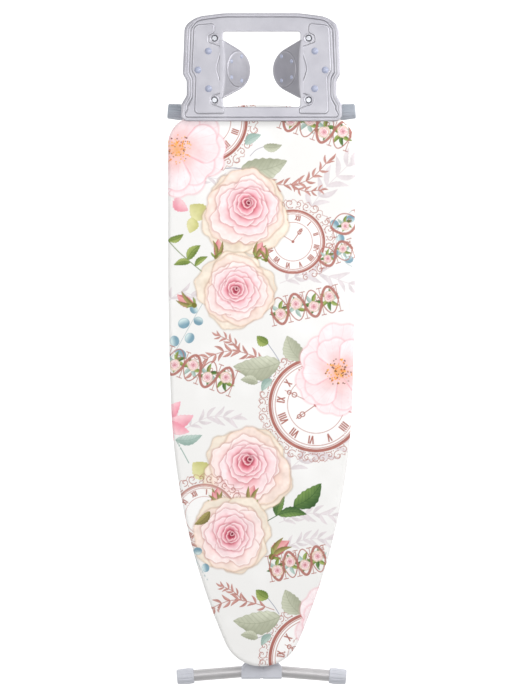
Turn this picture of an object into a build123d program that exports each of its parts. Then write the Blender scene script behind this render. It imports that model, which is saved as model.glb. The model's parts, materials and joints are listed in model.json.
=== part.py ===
from build123d import *

import os
from math import acos, asin, cos, degrees, radians, sin, sqrt, tan

# A full-size ironing board: a padded, covered steel board on crossed folding legs, with a
# pressed-steel iron rest at its wide end. It is modelled folded flat, lying on its four foot
# caps, with the ironing surface up.
# X runs across the board, +Y from the nose to the iron rest, +Z up. The origin is at the
# middle of the folded board's footprint, on the floor.

# ---------------------------------------------------------------- driving dimensions, mm
BOARD_LENGTH = 1220.0
FOOT_OVERHANG = 41.7  # foot caps past the nose, folded
REST_REACH = 197.5  # iron rest past the wide end
REST_OVERLAP = 36.9  # iron rest over the board

NOSE_RADIUS, NOSE_TURN = 86.0, 66.5  # plan outline of the covered board, as tangent arcs
FLANK_RADIUS, FLANK_TURN = 1430.0, 21.3
SIDE_RADIUS, SIDE_TURN = 9000.0, 2.2
CORNER_RADIUS = 62.0
TAIL_RADIUS = 470.0

AXLE_Z = 42.0  # height of the leg hinge and of the sliding axle
FOOT_Z = 17.0  # height of the foot tubes above the floor, folded
LEG_LENGTH = 1030.0  # from the axle to the middle of the foot caps
REAR_FOOT_INSET = 14.0  # rear foot caps in from the wide end, folded

TUBE_RADIUS, TUBE_WALL = 12.5, 1.0
FRONT_SPACING = 22.0  # half the distance between the two front leg tubes
REAR_SPACING = 56.0
LEG_TOP = 8.0  # leg tube above its axle

FOOT_SLOPE = 4.7  # degrees, each half of a foot falls towards its cap
FRONT_FOOT_HALF, REAR_FOOT_HALF = 184.4, 204.5
CAP_RADIUS, CAP_LENGTH = 17.4, 37.0
CAP_FLUTES, FLUTE_RADIUS, FLUTE_DEPTH = 12, 3.2, 1.5

COVER_TOP = 80.0
COVER_THICKNESS = 0.8
HEM_BOTTOM, HEM_WIDTH = 54.4, 26.0
PANEL_BOTTOM, PANEL_THICKNESS, PANEL_INSET = 72.0, 0.8, 4.5
FRAME_RADIUS, FRAME_WALL, FRAME_INSET = 8.0, 1.0, 12.0
RIB_HEIGHT, RIB_WIDTH, RIB_WALL = 10.0, 28.0, 1.2
VENT_RADIUS, VENT_PITCH = 5.0, 34.0

GUIDE_X, GUIDE_Z, GUIDE_RADIUS = 25.0, 52.5, 4.0
BRACKET_HALF, BRACKET_PLATE, BRACKET_FOOT = 33.0, 3.0, 12.0  # folded plates that hold the guide rods
AXLE_RADIUS, AXLE_HEAD, PIVOT_RADIUS = 5.0, 2.0, 4.0
RUNNING = 0.05  # radial clearance of a turning or sliding fit

CARRIAGE_HALF_X, CARRIAGE_HALF_Y = 38.0, 26.0
CARRIAGE_BOTTOM, CARRIAGE_TOP = 36.5, 60.0
LEVER_PIN_Y, LEVER_PIN_RADIUS, LEVER_TILT = -32.0, 2.5, 6.0
LEVER_REACH, LEVER_THICKNESS = 94.0, 3.0

REST_TOP, REST_SHEET, REST_FLANGE, EMBOSS = 92.0, 1.2, 8.5, 0.8
HOOP_X, HOOP_RADIUS, HOOP_LOW_Z, HOOP_TOP_Z = 102.0, 5.0, 45.0, 82.6
WINDOW_HALF_X, WINDOW_LOW, WINDOW_HIGH = 84.0, -6.0, 157.3
WING_SLOPE, WING_TIP_X, WING_BEND = 45.0, 25.5, 10.0
WING_MIDDLE = 76.0  # past the wide end
PAD_STUD_RADIUS, PAD_STUD_SHANK = 7.5, 4.0
WING_STUD_RADIUS, WING_STUD_SHANK = 5.5, 3.0
PAD_STUDS = [(115.5, 115.0), (138.0, 74.0), (115.0, 33.4)]
WING_STUDS = [(44.4, 105.0), (66.3, 93.5), (66.3, 59.0), (44.4, 52.5)]
REST_SCREWS = [143.0, 9.0]  # past the wide end, over the hoop

# ---------------------------------------------------------------- derived places
NOSE_Y = FOOT_OVERHANG - (FOOT_OVERHANG + BOARD_LENGTH + REST_REACH) / 2
TAIL_Y = NOSE_Y + BOARD_LENGTH
FOLD_ANGLE = degrees(asin((AXLE_Z - FOOT_Z) / LEG_LENGTH))  # the legs' fall when folded
FLAT_LENGTH = LEG_LENGTH * cos(radians(FOLD_ANGLE))
HINGE_Y = NOSE_Y - (FOOT_OVERHANG - CAP_RADIUS) + FLAT_LENGTH
SLIDE_Y = TAIL_Y - REAR_FOOT_INSET - FLAT_LENGTH
PIVOT_U = (HINGE_Y - SLIDE_Y) / 2 / cos(radians(FOLD_ANGLE))  # from each axle to the crossing
PIVOT_Y = (HINGE_Y + SLIDE_Y) / 2
PIVOT_Z = AXLE_Z - PIVOT_U * sin(radians(FOLD_ANGLE))
OPEN_ANGLE = 60.0  # the legs' slope at the highest setting
SLIDE_OPEN_Y = HINGE_Y - 2 * PIVOT_U * cos(radians(OPEN_ANGLE))

HEADINGS = [radians(h) for h in (0, NOSE_TURN, NOSE_TURN + FLANK_TURN, 90)]
NOSE_RADII = (NOSE_RADIUS, FLANK_RADIUS, SIDE_RADIUS)
HALF_WIDTH = sum(r * (sin(b) - sin(a)) for r, a, b in zip(NOSE_RADII, HEADINGS, HEADINGS[1:]))
CORNER_RUN = (HALF_WIDTH - CORNER_RADIUS) / (TAIL_RADIUS - CORNER_RADIUS)
CORNER_TURN = degrees(acos(CORNER_RUN))
CORNER_Y = TAIL_Y - TAIL_RADIUS + (TAIL_RADIUS - CORNER_RADIUS) * sqrt(1 - CORNER_RUN**2)

GUIDE_START, GUIDE_END = SLIDE_Y - 60, SLIDE_OPEN_Y + 40
RIB_BOTTOM = PANEL_BOTTOM - RIB_HEIGHT
RIB_PLACES = {
    "nose": GUIDE_START,
    "slide": (GUIDE_START + GUIDE_END) / 2,
    "middle": GUIDE_END,
    "waist": (GUIDE_END + HINGE_Y) / 2,
    "hinge": HINGE_Y,
    "tail": TAIL_Y - 100,
}
SIDES = (("left", -1), ("right", 1))
UPWARDS = (Align.CENTER, Align.CENTER, Align.MIN)  # a cylinder stands on its place, or hangs below it
DOWNWARDS = (Align.CENTER, Align.CENTER, Align.MAX)


# ---------------------------------------------------------------- helpers
def bar(start, end, radius, bore=0.0):
    """A round bar or, with a bore, a tube between two points."""
    start, end = Vector(*start), Vector(*end)
    section = Circle(radius) - Circle(bore) if bore else Circle(radius)
    return extrude(Plane(start, z_dir=end - start) * section, (end - start).length)


def block(x, y, z, fillet_radius=0.0, axis=Axis.Z):
    """A box from its X, Y and Z limits, with its edges along one axis rounded."""
    centre = Pos((x[0] + x[1]) / 2, (y[0] + y[1]) / 2, (z[0] + z[1]) / 2)
    made = centre * Box(x[1] - x[0], y[1] - y[0], z[1] - z[0])
    return fillet(made.edges().filter_by(axis), fillet_radius) if fillet_radius else made


def mirrored(shape):
    return mirror(shape, Plane.YZ)


def joined(shapes):
    """Several solids of one node."""
    return Compound(children=[s for shape in shapes for s in shape.solids()])


def slab(face, bottom, top):
    return Pos(0, 0, bottom) * extrude(face, top - bottom)


def front(shape):
    """Puts a shape from a leg's own frame, +Y from axle to foot, on the folded front leg."""
    return Pos(0, HINGE_Y, AXLE_Z) * Rot(FOLD_ANGLE, 0, 0) * Rot(0, 0, 180) * shape


def rear(shape):
    """The same for the rear leg, which runs towards the iron rest."""
    return Pos(0, SLIDE_Y, AXLE_Z) * Rot(-FOLD_ANGLE, 0, 0) * shape


# ---------------------------------------------------------------- board
def board_outline(inset):
    """Plan outline of the covered board, moved inwards."""
    nose = JernArc((0, NOSE_Y + inset), (1, 0), NOSE_RADIUS - inset, NOSE_TURN)
    flank = JernArc(nose @ 1, nose % 1, FLANK_RADIUS - inset, FLANK_TURN)
    side = JernArc(flank @ 1, flank % 1, SIDE_RADIUS - inset, SIDE_TURN)
    straight = Line(side @ 1, (HALF_WIDTH - inset, CORNER_Y))
    corner = JernArc(straight @ 1, (0, 1), CORNER_RADIUS - inset, CORNER_TURN)
    tail = JernArc(corner @ 1, corner % 1, TAIL_RADIUS - inset, 90 - CORNER_TURN)
    half = Curve() + [nose, flank, side, straight, corner, tail]
    return make_face(half + mirrored(half))


def cover():
    """Cotton cover: top, side wall and a hem turned in under the frame."""
    outside = slab(board_outline(0), HEM_BOTTOM, COVER_TOP)
    inside = slab(
        board_outline(COVER_THICKNESS), HEM_BOTTOM + COVER_THICKNESS, COVER_TOP - COVER_THICKNESS
    )
    mouth = slab(board_outline(HEM_WIDTH), HEM_BOTTOM - 1, HEM_BOTTOM + 5)
    return outside - inside - mouth


def underlay_pad():
    """Felt pad between the panel and the cover."""
    pad_bottom = PANEL_BOTTOM + PANEL_THICKNESS
    return slab(board_outline(COVER_THICKNESS + 0.2), pad_bottom, COVER_TOP - COVER_THICKNESS)


def steam_panel():
    """Steel top sheet with staggered steam holes."""
    margin = board_outline(FRAME_INSET + FRAME_RADIUS + VENT_RADIUS)
    columns = range(-6, 7)
    rows = range(int(BOARD_LENGTH / VENT_PITCH))
    centres = [
        (VENT_PITCH * (column + 0.5 * (row % 2)), NOSE_Y + VENT_PITCH * (row + 0.5))
        for row in rows
        for column in columns
    ]
    vents = [Pos(*c) * Circle(VENT_RADIUS) for c in centres if margin.is_inside(Vector(*c))]
    sheet = board_outline(PANEL_INSET) - vents
    return slab(sheet, PANEL_BOTTOM, PANEL_BOTTOM + PANEL_THICKNESS)


def panel_frame():
    """Round steel tube bent round the board's edge."""
    path = Pos(0, 0, PANEL_BOTTOM - FRAME_RADIUS) * board_outline(FRAME_INSET).face().outer_wire()
    start = Plane(path @ 0, z_dir=path % 0)
    return sweep(start * (Circle(FRAME_RADIUS) - Circle(FRAME_RADIUS - FRAME_WALL)), path)


def cross_rib(y):
    """Channel across the frame, open downwards, its ends shaped to the frame tube."""
    half = RIB_WIDTH / 2
    span = (-HALF_WIDTH, HALF_WIDTH)
    channel = block(span, (y - half, y + half), (RIB_BOTTOM, PANEL_BOTTOM))
    inner = half - RIB_WALL
    hollow = block(span, (y - inner, y + inner), (RIB_BOTTOM, PANEL_BOTTOM - RIB_WALL))
    inside = slab(board_outline(FRAME_INSET + FRAME_RADIUS + 0.1), RIB_BOTTOM, PANEL_BOTTOM)
    return (channel - hollow) & inside


def guide_bracket(y, towards):
    """Folded plate on a rib that holds one end of both guide rods."""
    across = (-BRACKET_HALF, BRACKET_HALF)
    half = BRACKET_PLATE / 2
    face = block(across, (y - half, y + half), (GUIDE_Z - 1.5 * GUIDE_RADIUS, RIB_BOTTOM))
    far = y + towards * BRACKET_FOOT
    foot = block(across, (min(y, far), max(y, far)), (RIB_BOTTOM - 2, RIB_BOTTOM))
    start, end = y - BRACKET_PLATE, y + BRACKET_PLATE
    rods = [bar((s * GUIDE_X, start, GUIDE_Z), (s * GUIDE_X, end, GUIDE_Z), GUIDE_RADIUS) for _, s in SIDES]
    return face + foot - rods


def guide_rod(x):
    return bar((x, GUIDE_START - 4, GUIDE_Z), (x, GUIDE_END + 4, GUIDE_Z), GUIDE_RADIUS)


# ---------------------------------------------------------------- leg hinge
EAR_INSIDE, EAR_THICKNESS, EAR_RADIUS = 37.0, 2.5, 12.0
BRACKET_HALF_Y, RIVET_RADIUS, RIVET_HEAD = 20.0, 3.0, 1.5


def hinge_bracket():
    """Steel U bracket under a rib, whose ears hold the front leg's axle."""
    top = RIB_BOTTOM
    outside = EAR_INSIDE + EAR_THICKNESS
    along = (HINGE_Y - BRACKET_HALF_Y, HINGE_Y + BRACKET_HALF_Y)
    base = block((-outside, outside), along, (top - EAR_THICKNESS, top))
    ears = []
    for _, s in SIDES:
        inner, outer = sorted((s * EAR_INSIDE, s * outside))
        web = block((inner, outer), (HINGE_Y - EAR_RADIUS, HINGE_Y + EAR_RADIUS), (AXLE_Z, top))
        ears.append(web + bar((inner, HINGE_Y, AXLE_Z), (outer, HINGE_Y, AXLE_Z), EAR_RADIUS))
    hole = bar((-2 * outside, HINGE_Y, AXLE_Z), (2 * outside, HINGE_Y, AXLE_Z), AXLE_RADIUS)
    return base + ears - hole


def hinge_axle():
    """Pin through the ears and both front leg tubes, with a formed head at each end."""
    reach = EAR_INSIDE + EAR_THICKNESS + 0.5
    end = reach + AXLE_HEAD
    pin = bar((-end, HINGE_Y, AXLE_Z), (end, HINGE_Y, AXLE_Z), AXLE_RADIUS)
    radius = AXLE_RADIUS + AXLE_HEAD
    heads = [bar((s * reach, HINGE_Y, AXLE_Z), (s * end, HINGE_Y, AXLE_Z), radius) for _, s in SIDES]
    return pin + heads


def hinge_washers():
    """Nylon washers between the ears and the leg tubes."""
    gap = (FRONT_SPACING + TUBE_RADIUS + 0.2, EAR_INSIDE - 0.2)
    return joined(
        bar((s * gap[0], HINGE_Y, AXLE_Z), (s * gap[1], HINGE_Y, AXLE_Z), 9, AXLE_RADIUS + RUNNING)
        for _, s in SIDES
    )


# ---------------------------------------------------------------- legs
def leg_tube(x, end, axle_hole, pivot_hole):
    """Leg tube in the leg's frame, cross-drilled for its axle and for the crossing bolt."""
    tube = bar((x, -LEG_TOP, 0), (x, end, 0), TUBE_RADIUS, TUBE_RADIUS - TUBE_WALL)
    across = ((x - 20, 0, 0), (x + 20, 0, 0))
    axle = bar(*across, axle_hole)
    pivot = Pos(0, PIVOT_U, 0) * bar(*across, pivot_hole)
    return tube - axle - pivot


def tube_plug(x):
    """Plastic plug in a leg tube's upper end."""
    stem = bar((x, 2.6 - LEG_TOP, 0), (x, -LEG_TOP, 0), TUBE_RADIUS - TUBE_WALL - 0.02)
    return stem + bar((x, -LEG_TOP, 0), (x, -LEG_TOP - 1, 0), TUBE_RADIUS)


def coped_tie(spacing, u, radius, bore=0.0):
    """Cross tie between a leg's two tubes, its ends shaped to them."""
    tie = bar((-spacing, u, 0), (spacing, u, 0), radius, bore)
    tubes = [bar((s * spacing, u - 50, 0), (s * spacing, u + 50, 0), TUBE_RADIUS + 0.02) for _, s in SIDES]
    return (tie - tubes).solids().sort_by(Axis.X)[0]


def foot_centre(half):
    """Distance from the axle to the middle of a foot tube."""
    return LEG_LENGTH - (half - CAP_LENGTH / 2) * tan(radians(FOOT_SLOPE))


def foot_tube(half):
    """Foot tube bent at its middle, in the leg's frame."""
    centre = foot_centre(half)
    end = half - 5
    fall = end * tan(radians(FOOT_SLOPE))
    path = FilletPolyline((-end, centre + fall), (0, centre), (end, centre + fall), radius=200)
    section = Circle(TUBE_RADIUS) - Circle(TUBE_RADIUS - TUBE_WALL)
    return sweep(Plane(path @ 0, z_dir=path % 0) * section, path)


def foot_core(half):
    """Solid of the foot tube's outside, to bore a fitting with."""
    centre = foot_centre(half)
    fall = half * tan(radians(FOOT_SLOPE))
    path = FilletPolyline((-half, centre + fall), (0, centre), (half, centre + fall), radius=200)
    return sweep(Plane(path @ 0, z_dir=path % 0) * Circle(TUBE_RADIUS + 0.02), path)


def foot_cap(half, side):
    """Fluted push-on cap at one end of a foot, its underside cut level with the floor."""
    profile = make_face(
        FilletPolyline(
            (0, 0), (CAP_RADIUS - 1.2, 0), (CAP_RADIUS, 12), (CAP_RADIUS - 1.4, CAP_LENGTH), (0, CAP_LENGTH),
            radius=[1.2, 14, 3],
        )
        + Line((0, CAP_LENGTH), (0, 0))
    )
    body = revolve(Plane.XZ * profile, Axis.Z)
    body -= Cylinder(TUBE_RADIUS + 0.02, 32.5, align=UPWARDS)
    flute = Pos(CAP_RADIUS + FLUTE_RADIUS - FLUTE_DEPTH, 0, 4) * Cylinder(FLUTE_RADIUS, 40, align=UPWARDS)
    flutes = [Rot(0, 0, 360 * (i + 0.5) / CAP_FLUTES) * flute for i in range(CAP_FLUTES)]
    body -= flutes
    inner = half - CAP_LENGTH * cos(radians(FOOT_SLOPE))
    u = foot_centre(half) + inner * tan(radians(FOOT_SLOPE))
    outwards = Plane((side * inner, u, 0), x_dir=(0, 0, 1), z_dir=(side, tan(radians(FOOT_SLOPE)), 0))
    return outwards * body


def levelled(cap):
    """Trims a cap to the floor and to the limits of the footprint."""
    reach = (FOOT_OVERHANG + BOARD_LENGTH + REST_REACH) / 2
    return cap & block((-300, 300), (-reach, reach), (0, 100))


TEE_HALF, TEE_DEPTH, TEE_STEM_HALF, TEE_STEM = 44.0, 15.0, 36.5, 70.0  # the front T piece
TEE_HEEL, TEE_TOE, TEE_GROOVE, TEE_GROOVE_X = 16.2, 18.7, 2.2, 4.2
TEE_PANEL_DEPTH = 0.9  # the sunk panels on both faces of the arms


def front_connector():
    """Moulded T piece that joins the two front leg tubes to their foot."""
    centre = foot_centre(FRONT_FOOT_HALF)
    heel, toe = centre - TEE_HEEL, centre + TEE_TOE
    shoulders = [(-TEE_STEM_HALF, heel), (-TEE_HALF, heel + 9), (-TEE_HALF, toe)]
    shoulders += [(-x, u) for x, u in reversed(shoulders)]
    arms = block((-TEE_HALF, TEE_HALF), (heel, toe), (-TEE_DEPTH, TEE_DEPTH), 5, Axis.X)
    arms &= slab(make_face(Polyline(*shoulders, close=True)), -TEE_DEPTH - 1, TEE_DEPTH + 1)
    stem_depth = (0.5 - TEE_DEPTH, TEE_DEPTH - 0.5)
    body = arms + block((-TEE_STEM_HALF, TEE_STEM_HALF), (centre - TEE_STEM, centre), stem_depth, 6, Axis.Y)
    body -= foot_core(FRONT_FOOT_HALF)
    for _, s in SIDES:
        x = s * FRONT_SPACING
        body -= bar((x, 0, 0), (x, centre, 0), TUBE_RADIUS + 0.02)
        groove = (s * TEE_GROOVE_X - TEE_GROOVE / 2, s * TEE_GROOVE_X + TEE_GROOVE / 2)
        panel = [(9, heel + 5), (33, heel + 5), (40, heel + 14), (40, toe - 6), (9, toe - 6)]
        sunk = make_face(Polyline(*[(s * px, u) for px, u in panel], close=True))
        body -= slab(sunk, TEE_DEPTH - TEE_PANEL_DEPTH, TEE_DEPTH + 1)
        body -= slab(sunk, -TEE_DEPTH - 1, TEE_PANEL_DEPTH - TEE_DEPTH)
        for z in (-TEE_DEPTH, TEE_DEPTH):
            along = (centre - TEE_STEM - 1, toe + 1)
            body -= block(groove, along, (z - TEE_GROOVE / 2, z + TEE_GROOVE / 2))
    body -= block((-3, 3), (toe - 1.5, toe + 1), (-TEE_DEPTH - 1, TEE_DEPTH + 1))
    return body - front_screws()


def front_screws():
    """Self-tapping screws on the underside of the T piece."""
    centre = foot_centre(FRONT_FOOT_HALF)
    places = [(0, centre - 30), (0, centre - 58), (0, centre + 15.5)]
    return joined(
        bar((x, u, -13.2), (x, u, -15.4), 3.2) + bar((x, u, -13.2), (x, u, -8), 1.5) for x, u in places
    )


def rear_connector(x):
    """Moulded T piece round the rear foot and one rear leg tube."""
    centre = foot_centre(REAR_FOOT_HALF)
    slope = tan(radians(FOOT_SLOPE))
    side = 1 if x > 0 else -1
    u = centre + abs(x) * slope
    sleeve = bar((x - side * 24, u - 24 * slope, 0), (x + side * 24, u + 24 * slope, 0), TUBE_RADIUS + 3)
    stem = bar((x, u - 62, 0), (x, u, 0), TUBE_RADIUS + 2.5)
    collar = bar((x, u - 62, 0), (x, u - 54, 0), TUBE_RADIUS + 3.5)
    body = sleeve + stem + collar
    return body - foot_core(REAR_FOOT_HALF) - bar((x, u - 80, 0), (x, u, 0), TUBE_RADIUS + 0.02)


def pivot_bolt():
    """Bolt through all four leg tubes at the crossing, with a domed head."""
    seat = REAR_SPACING + TUBE_RADIUS + 1.6
    shank = bar((-seat, PIVOT_Y, PIVOT_Z), (seat + 5, PIVOT_Y, PIVOT_Z), PIVOT_RADIUS)
    dome = Pos(-seat, PIVOT_Y, PIVOT_Z) * (Sphere(8) & Pos(-4, 0, 0) * Box(8, 16, 16))
    return shank + Pos(2.5, 0, 0) * (dome & block((-seat - 20, -seat - 2.5), (-900, 900), (0, 90)))


def pivot_nut():
    """Domed nut on the crossing bolt."""
    seat = REAR_SPACING + TUBE_RADIUS + 1.6
    flats = Plane((seat, PIVOT_Y, PIVOT_Z), z_dir=(1, 0, 0)) * (RegularPolygon(7.5, 6) - Circle(PIVOT_RADIUS))
    dome = Sphere(6) & Pos(3, 0, 0) * Box(6, 12, 12)
    return extrude(flats, 5) + Pos(seat + 5, PIVOT_Y, PIVOT_Z) * dome


def pivot_ring(inner_x, outer_x, radius):
    return bar((inner_x, PIVOT_Y, PIVOT_Z), (outer_x, PIVOT_Y, PIVOT_Z), radius, PIVOT_RADIUS + RUNNING)


def pivot_spacers():
    """Nylon spacers that keep the front and rear tubes apart, and end washers."""
    inner = (FRONT_SPACING + TUBE_RADIUS + 0.1, REAR_SPACING - TUBE_RADIUS - 0.1)
    outer = (REAR_SPACING + TUBE_RADIUS + 0.1, REAR_SPACING + TUBE_RADIUS + 1.5)
    return joined(pivot_ring(s * a, s * b, r) for _, s in SIDES for (a, b), r in ((inner, 9), (outer, 9)))


# ---------------------------------------------------------------- sliding carriage and clamp lever
def carriage():
    """Nylon block on the guide rods, bored for the rear leg's axle, with a fixed finger grip."""
    across, along = (-CARRIAGE_HALF_X, CARRIAGE_HALF_X), (-CARRIAGE_HALF_Y, CARRIAGE_HALF_Y)
    body = block(across, along, (CARRIAGE_BOTTOM, CARRIAGE_TOP), 4)
    lug = (LEVER_PIN_Y - 6, 2 - CARRIAGE_HALF_Y)
    body += [block((-8, 8), lug, z) for z in ((38, 42.4), (56, CARRIAGE_TOP))]
    body += block((CARRIAGE_HALF_X - 8, LEVER_REACH), (-CARRIAGE_HALF_Y, 7 - CARRIAGE_HALF_Y), (40, 52), 2)
    reach = CARRIAGE_HALF_Y + 1
    for _, s in SIDES:
        body -= bar((s * GUIDE_X, -reach, GUIDE_Z), (s * GUIDE_X, reach, GUIDE_Z), GUIDE_RADIUS + RUNNING)
    body -= bar((-60, 0, AXLE_Z), (60, 0, AXLE_Z), AXLE_RADIUS + RUNNING)
    body -= block((-12, 12), (-18, 18), (50, CARRIAGE_TOP + 1), 3)
    body -= lever_pin_solid()
    return Pos(0, SLIDE_Y, 0) * body


def lever_pin_solid():
    return bar((0, LEVER_PIN_Y, 38), (0, LEVER_PIN_Y, CARRIAGE_TOP + 1), LEVER_PIN_RADIUS)


def lever_pin():
    return Pos(0, SLIDE_Y, 0) * lever_pin_solid()


def release_lever():
    """Steel clamp plate round the right guide rod, hinged on an upright pin."""
    low, high = 44.0, 55.5
    eye = bar((0, 0, low), (0, 0, high), 5)
    half = LEVER_THICKNESS / 2
    plate = block((0, GUIDE_X + 12), (-half, half), (low, 59.5)) - block((-1, 9), (-9, 9), (high, 70))
    arm = block((GUIDE_X, LEVER_REACH), (-half, half), (44, 50))
    shape = eye + plate + arm
    shape -= bar((GUIDE_X + 0.05, -9, GUIDE_Z), (GUIDE_X + 0.05, 9, GUIDE_Z), GUIDE_RADIUS + 0.4)
    shape -= bar((0, 0, 40), (0, 0, 70), LEVER_PIN_RADIUS + RUNNING)
    return lever_place(shape)


def lever_grip():
    """Plastic sleeve on the lever's free end."""
    grip = block((54, LEVER_REACH + 1.5), (-5, 5), (40.5, 52.5), 3.5)
    return lever_place(grip - block((50, LEVER_REACH), (-1.5, 1.5), (44, 50)))


def lever_place(shape):
    return Pos(0, SLIDE_Y + LEVER_PIN_Y, 0) * Rot(0, 0, -LEVER_TILT) * shape


def rear_axle():
    """Axle through the rear leg tubes and the carriage."""
    end = REAR_SPACING + TUBE_RADIUS
    pin = bar((-end - 2, 0, 0), (end + 2, 0, 0), AXLE_RADIUS)
    return pin + [bar((s * (end + 0.3), 0, 0), (s * (end + 2.3), 0, 0), AXLE_RADIUS + 2.5) for _, s in SIDES]


def rear_axle_spacers():
    """Nylon sleeves between the carriage and the rear leg tubes."""
    gap = (CARRIAGE_HALF_X + 0.3, REAR_SPACING - TUBE_RADIUS - 0.1)
    return joined(bar((s * gap[0], 0, 0), (s * gap[1], 0, 0), 8, AXLE_RADIUS + 0.02) for _, s in SIDES)


# ---------------------------------------------------------------- iron rest
REST_OUTLINE = [  # half of the plate's outline, from its inner edge's middle: X, past the wide end
    (0, -REST_OVERLAP), (174.3, -REST_OVERLAP), (174.3, -1), (162.5, 19), (162.5, 51), (171, 65),
    (167, 171), (140, 190), (82, REST_REACH), (0, REST_REACH),
]
REST_OUTLINE_RADII = [14, 18, 14, 14, 16, 26, 60, 160]
SIDE_PAD = [  # embossed panel at each side, leaving the screw bosses below it
    (146, 171), (103, 175), (102, 156), (116, 149), (116, 134), (85, 124), (99, 77), (82, 26),
    (104, 19), (113, 9), (108, -1), (82, -9), (82, -20.5), (145, -20.5), (142, 58), (151, 74),
]
SIDE_PAD_RADII = [12, 6, 7, 6, 6, 9, 30, 9, 6, 5, 6, 4, 4, 9, 12, 12]


def rest_place(shape):
    return Pos(0, TAIL_Y, 0) * shape


def rest_face(inset):
    half = FilletPolyline(*REST_OUTLINE, radius=REST_OUTLINE_RADII)
    face = make_face(Curve() + [half, mirrored(half)])
    return offset(face, -inset) if inset else face


def wing(side):
    """Side wing, bent down from the window's edge and rounded in plan."""
    bend_x = WINDOW_HALF_X + 2
    turn = radians(WING_SLOPE)
    rest_of_way = (bend_x - WING_BEND * sin(turn) - WING_TIP_X + 2) / cos(turn)
    line = Line((bend_x + 4, REST_TOP), (bend_x, REST_TOP))
    bend = JernArc(line @ 1, (-1, 0), WING_BEND, WING_SLOPE)
    slope = Line(bend @ 1, (bend @ 1) + (bend % 1) * rest_of_way)
    upper_line = Plane.XZ * (Curve() + [line, bend, slope])
    across = Plane(upper_line @ 0, x_dir=(0, 1, 0), z_dir=(-1, 0, 0))
    band = sweep(across * Pos(0, REST_SHEET / 2) * Rectangle(200, REST_SHEET), upper_line)
    corners = [(bend_x + 6, 63), (84, 63), (WING_TIP_X, 30)]
    corners += [(x, -y) for x, y in reversed(corners)]
    plan = make_face(FilletPolyline(*corners, radius=[6, 6, 50, 50, 6, 6], close=True))
    made = band & slab(plan, 0, 120)
    disc = extrude(wing_plane() * Ellipse(32, 38.5), EMBOSS)
    made += disc & slab(offset(plan, -2.5), 0, 120)
    made = Pos(0, WING_MIDDLE, 0) * made
    return made if side > 0 else mirrored(made)


def wing_plane():
    """Plane on the upper face of the right wing, Z out of it, at the disc's middle."""
    turn = radians(WING_SLOPE)
    x = 51.5
    start_x = WINDOW_HALF_X + 2 - WING_BEND * sin(turn)
    start_z = REST_TOP - WING_BEND * (1 - cos(turn))
    z = start_z - (start_x - x) * tan(turn)
    return Plane((x, 1.5, z), x_dir=(cos(turn), 0, sin(turn)), z_dir=(-sin(turn), 0, cos(turn)))


def wing_stud_places():
    """Where the studs stand on the right wing's disc."""
    disc = wing_plane()
    turn = cos(radians(WING_SLOPE))
    middle = WING_MIDDLE + disc.origin.Y
    return [
        Pos(0, WING_MIDDLE, 0) * disc * Pos((x - disc.origin.X) / turn, past - middle, EMBOSS)
        for x, past in WING_STUDS
    ]


def plate_stud_places():
    return [Pos(s * x, past, REST_TOP + EMBOSS) for _, s in SIDES for x, past in PAD_STUDS]


def stud(radius, shank):
    """Heat-proof stud, its origin on an embossed face: a dome, a shank and a foot behind."""
    sheet = REST_SHEET + EMBOSS
    dome = Pos(0, 0, -radius * 0.55) * Sphere(radius * 1.14) & Pos(0, 0, radius) * Box(40, 40, 2 * radius)
    stem = Cylinder(shank, sheet + 0.1, align=DOWNWARDS)
    foot = Pos(0, 0, -sheet - 0.05) * Cylinder(shank + 1.5, 1.2, align=DOWNWARDS)
    return dome + stem + foot


def iron_rest():
    """Pressed steel plate with a turned-down rim, a window, embossed panels and two wings."""
    plate = slab(rest_face(0), REST_TOP - REST_SHEET, REST_TOP)
    rim = slab(rest_face(0) - rest_face(REST_SHEET), REST_TOP - REST_FLANGE, REST_TOP)
    bead = slab(rest_face(6) - rest_face(12), REST_TOP, REST_TOP + EMBOSS)
    window = Pos(0, (WINDOW_LOW + WINDOW_HIGH) / 2) * RectangleRounded(
        2 * WINDOW_HALF_X, WINDOW_HIGH - WINDOW_LOW, 6
    )
    pads = make_face(FilletPolyline(*SIDE_PAD, radius=SIDE_PAD_RADII, close=True))
    raised = slab(pads, REST_TOP, REST_TOP + EMBOSS)
    made = plate + rim + bead + raised + mirrored(raised)
    made -= slab(window, 0, 120)
    for place in screw_places():
        made += place * Cylinder(8 + REST_SHEET, 3 + REST_SHEET, align=DOWNWARDS)
        made -= place * (Cylinder(8, 3, align=DOWNWARDS) + Cylinder(2.5, 20))
    made += [wing(1), wing(-1)]
    made -= [place * Cylinder(PAD_STUD_SHANK + 0.02, 8) for place in plate_stud_places()]
    holes = [place * Cylinder(WING_STUD_SHANK + 0.02, 8) for place in wing_stud_places()]
    made -= holes + [mirrored(hole) for hole in holes]
    return rest_place(made)


def screw_places():
    return [Pos(s * HOOP_X, past, REST_TOP) for _, s in SIDES for past in REST_SCREWS]


def plate_studs():
    """Three large studs on each side panel."""
    one = stud(PAD_STUD_RADIUS, PAD_STUD_SHANK)
    return joined(rest_place(place * one) for place in plate_stud_places())


def wing_studs():
    """Four small studs on each wing."""
    right = [rest_place(place * stud(WING_STUD_RADIUS, WING_STUD_SHANK)) for place in wing_stud_places()]
    return joined(right + [mirrored(one) for one in right])


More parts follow.
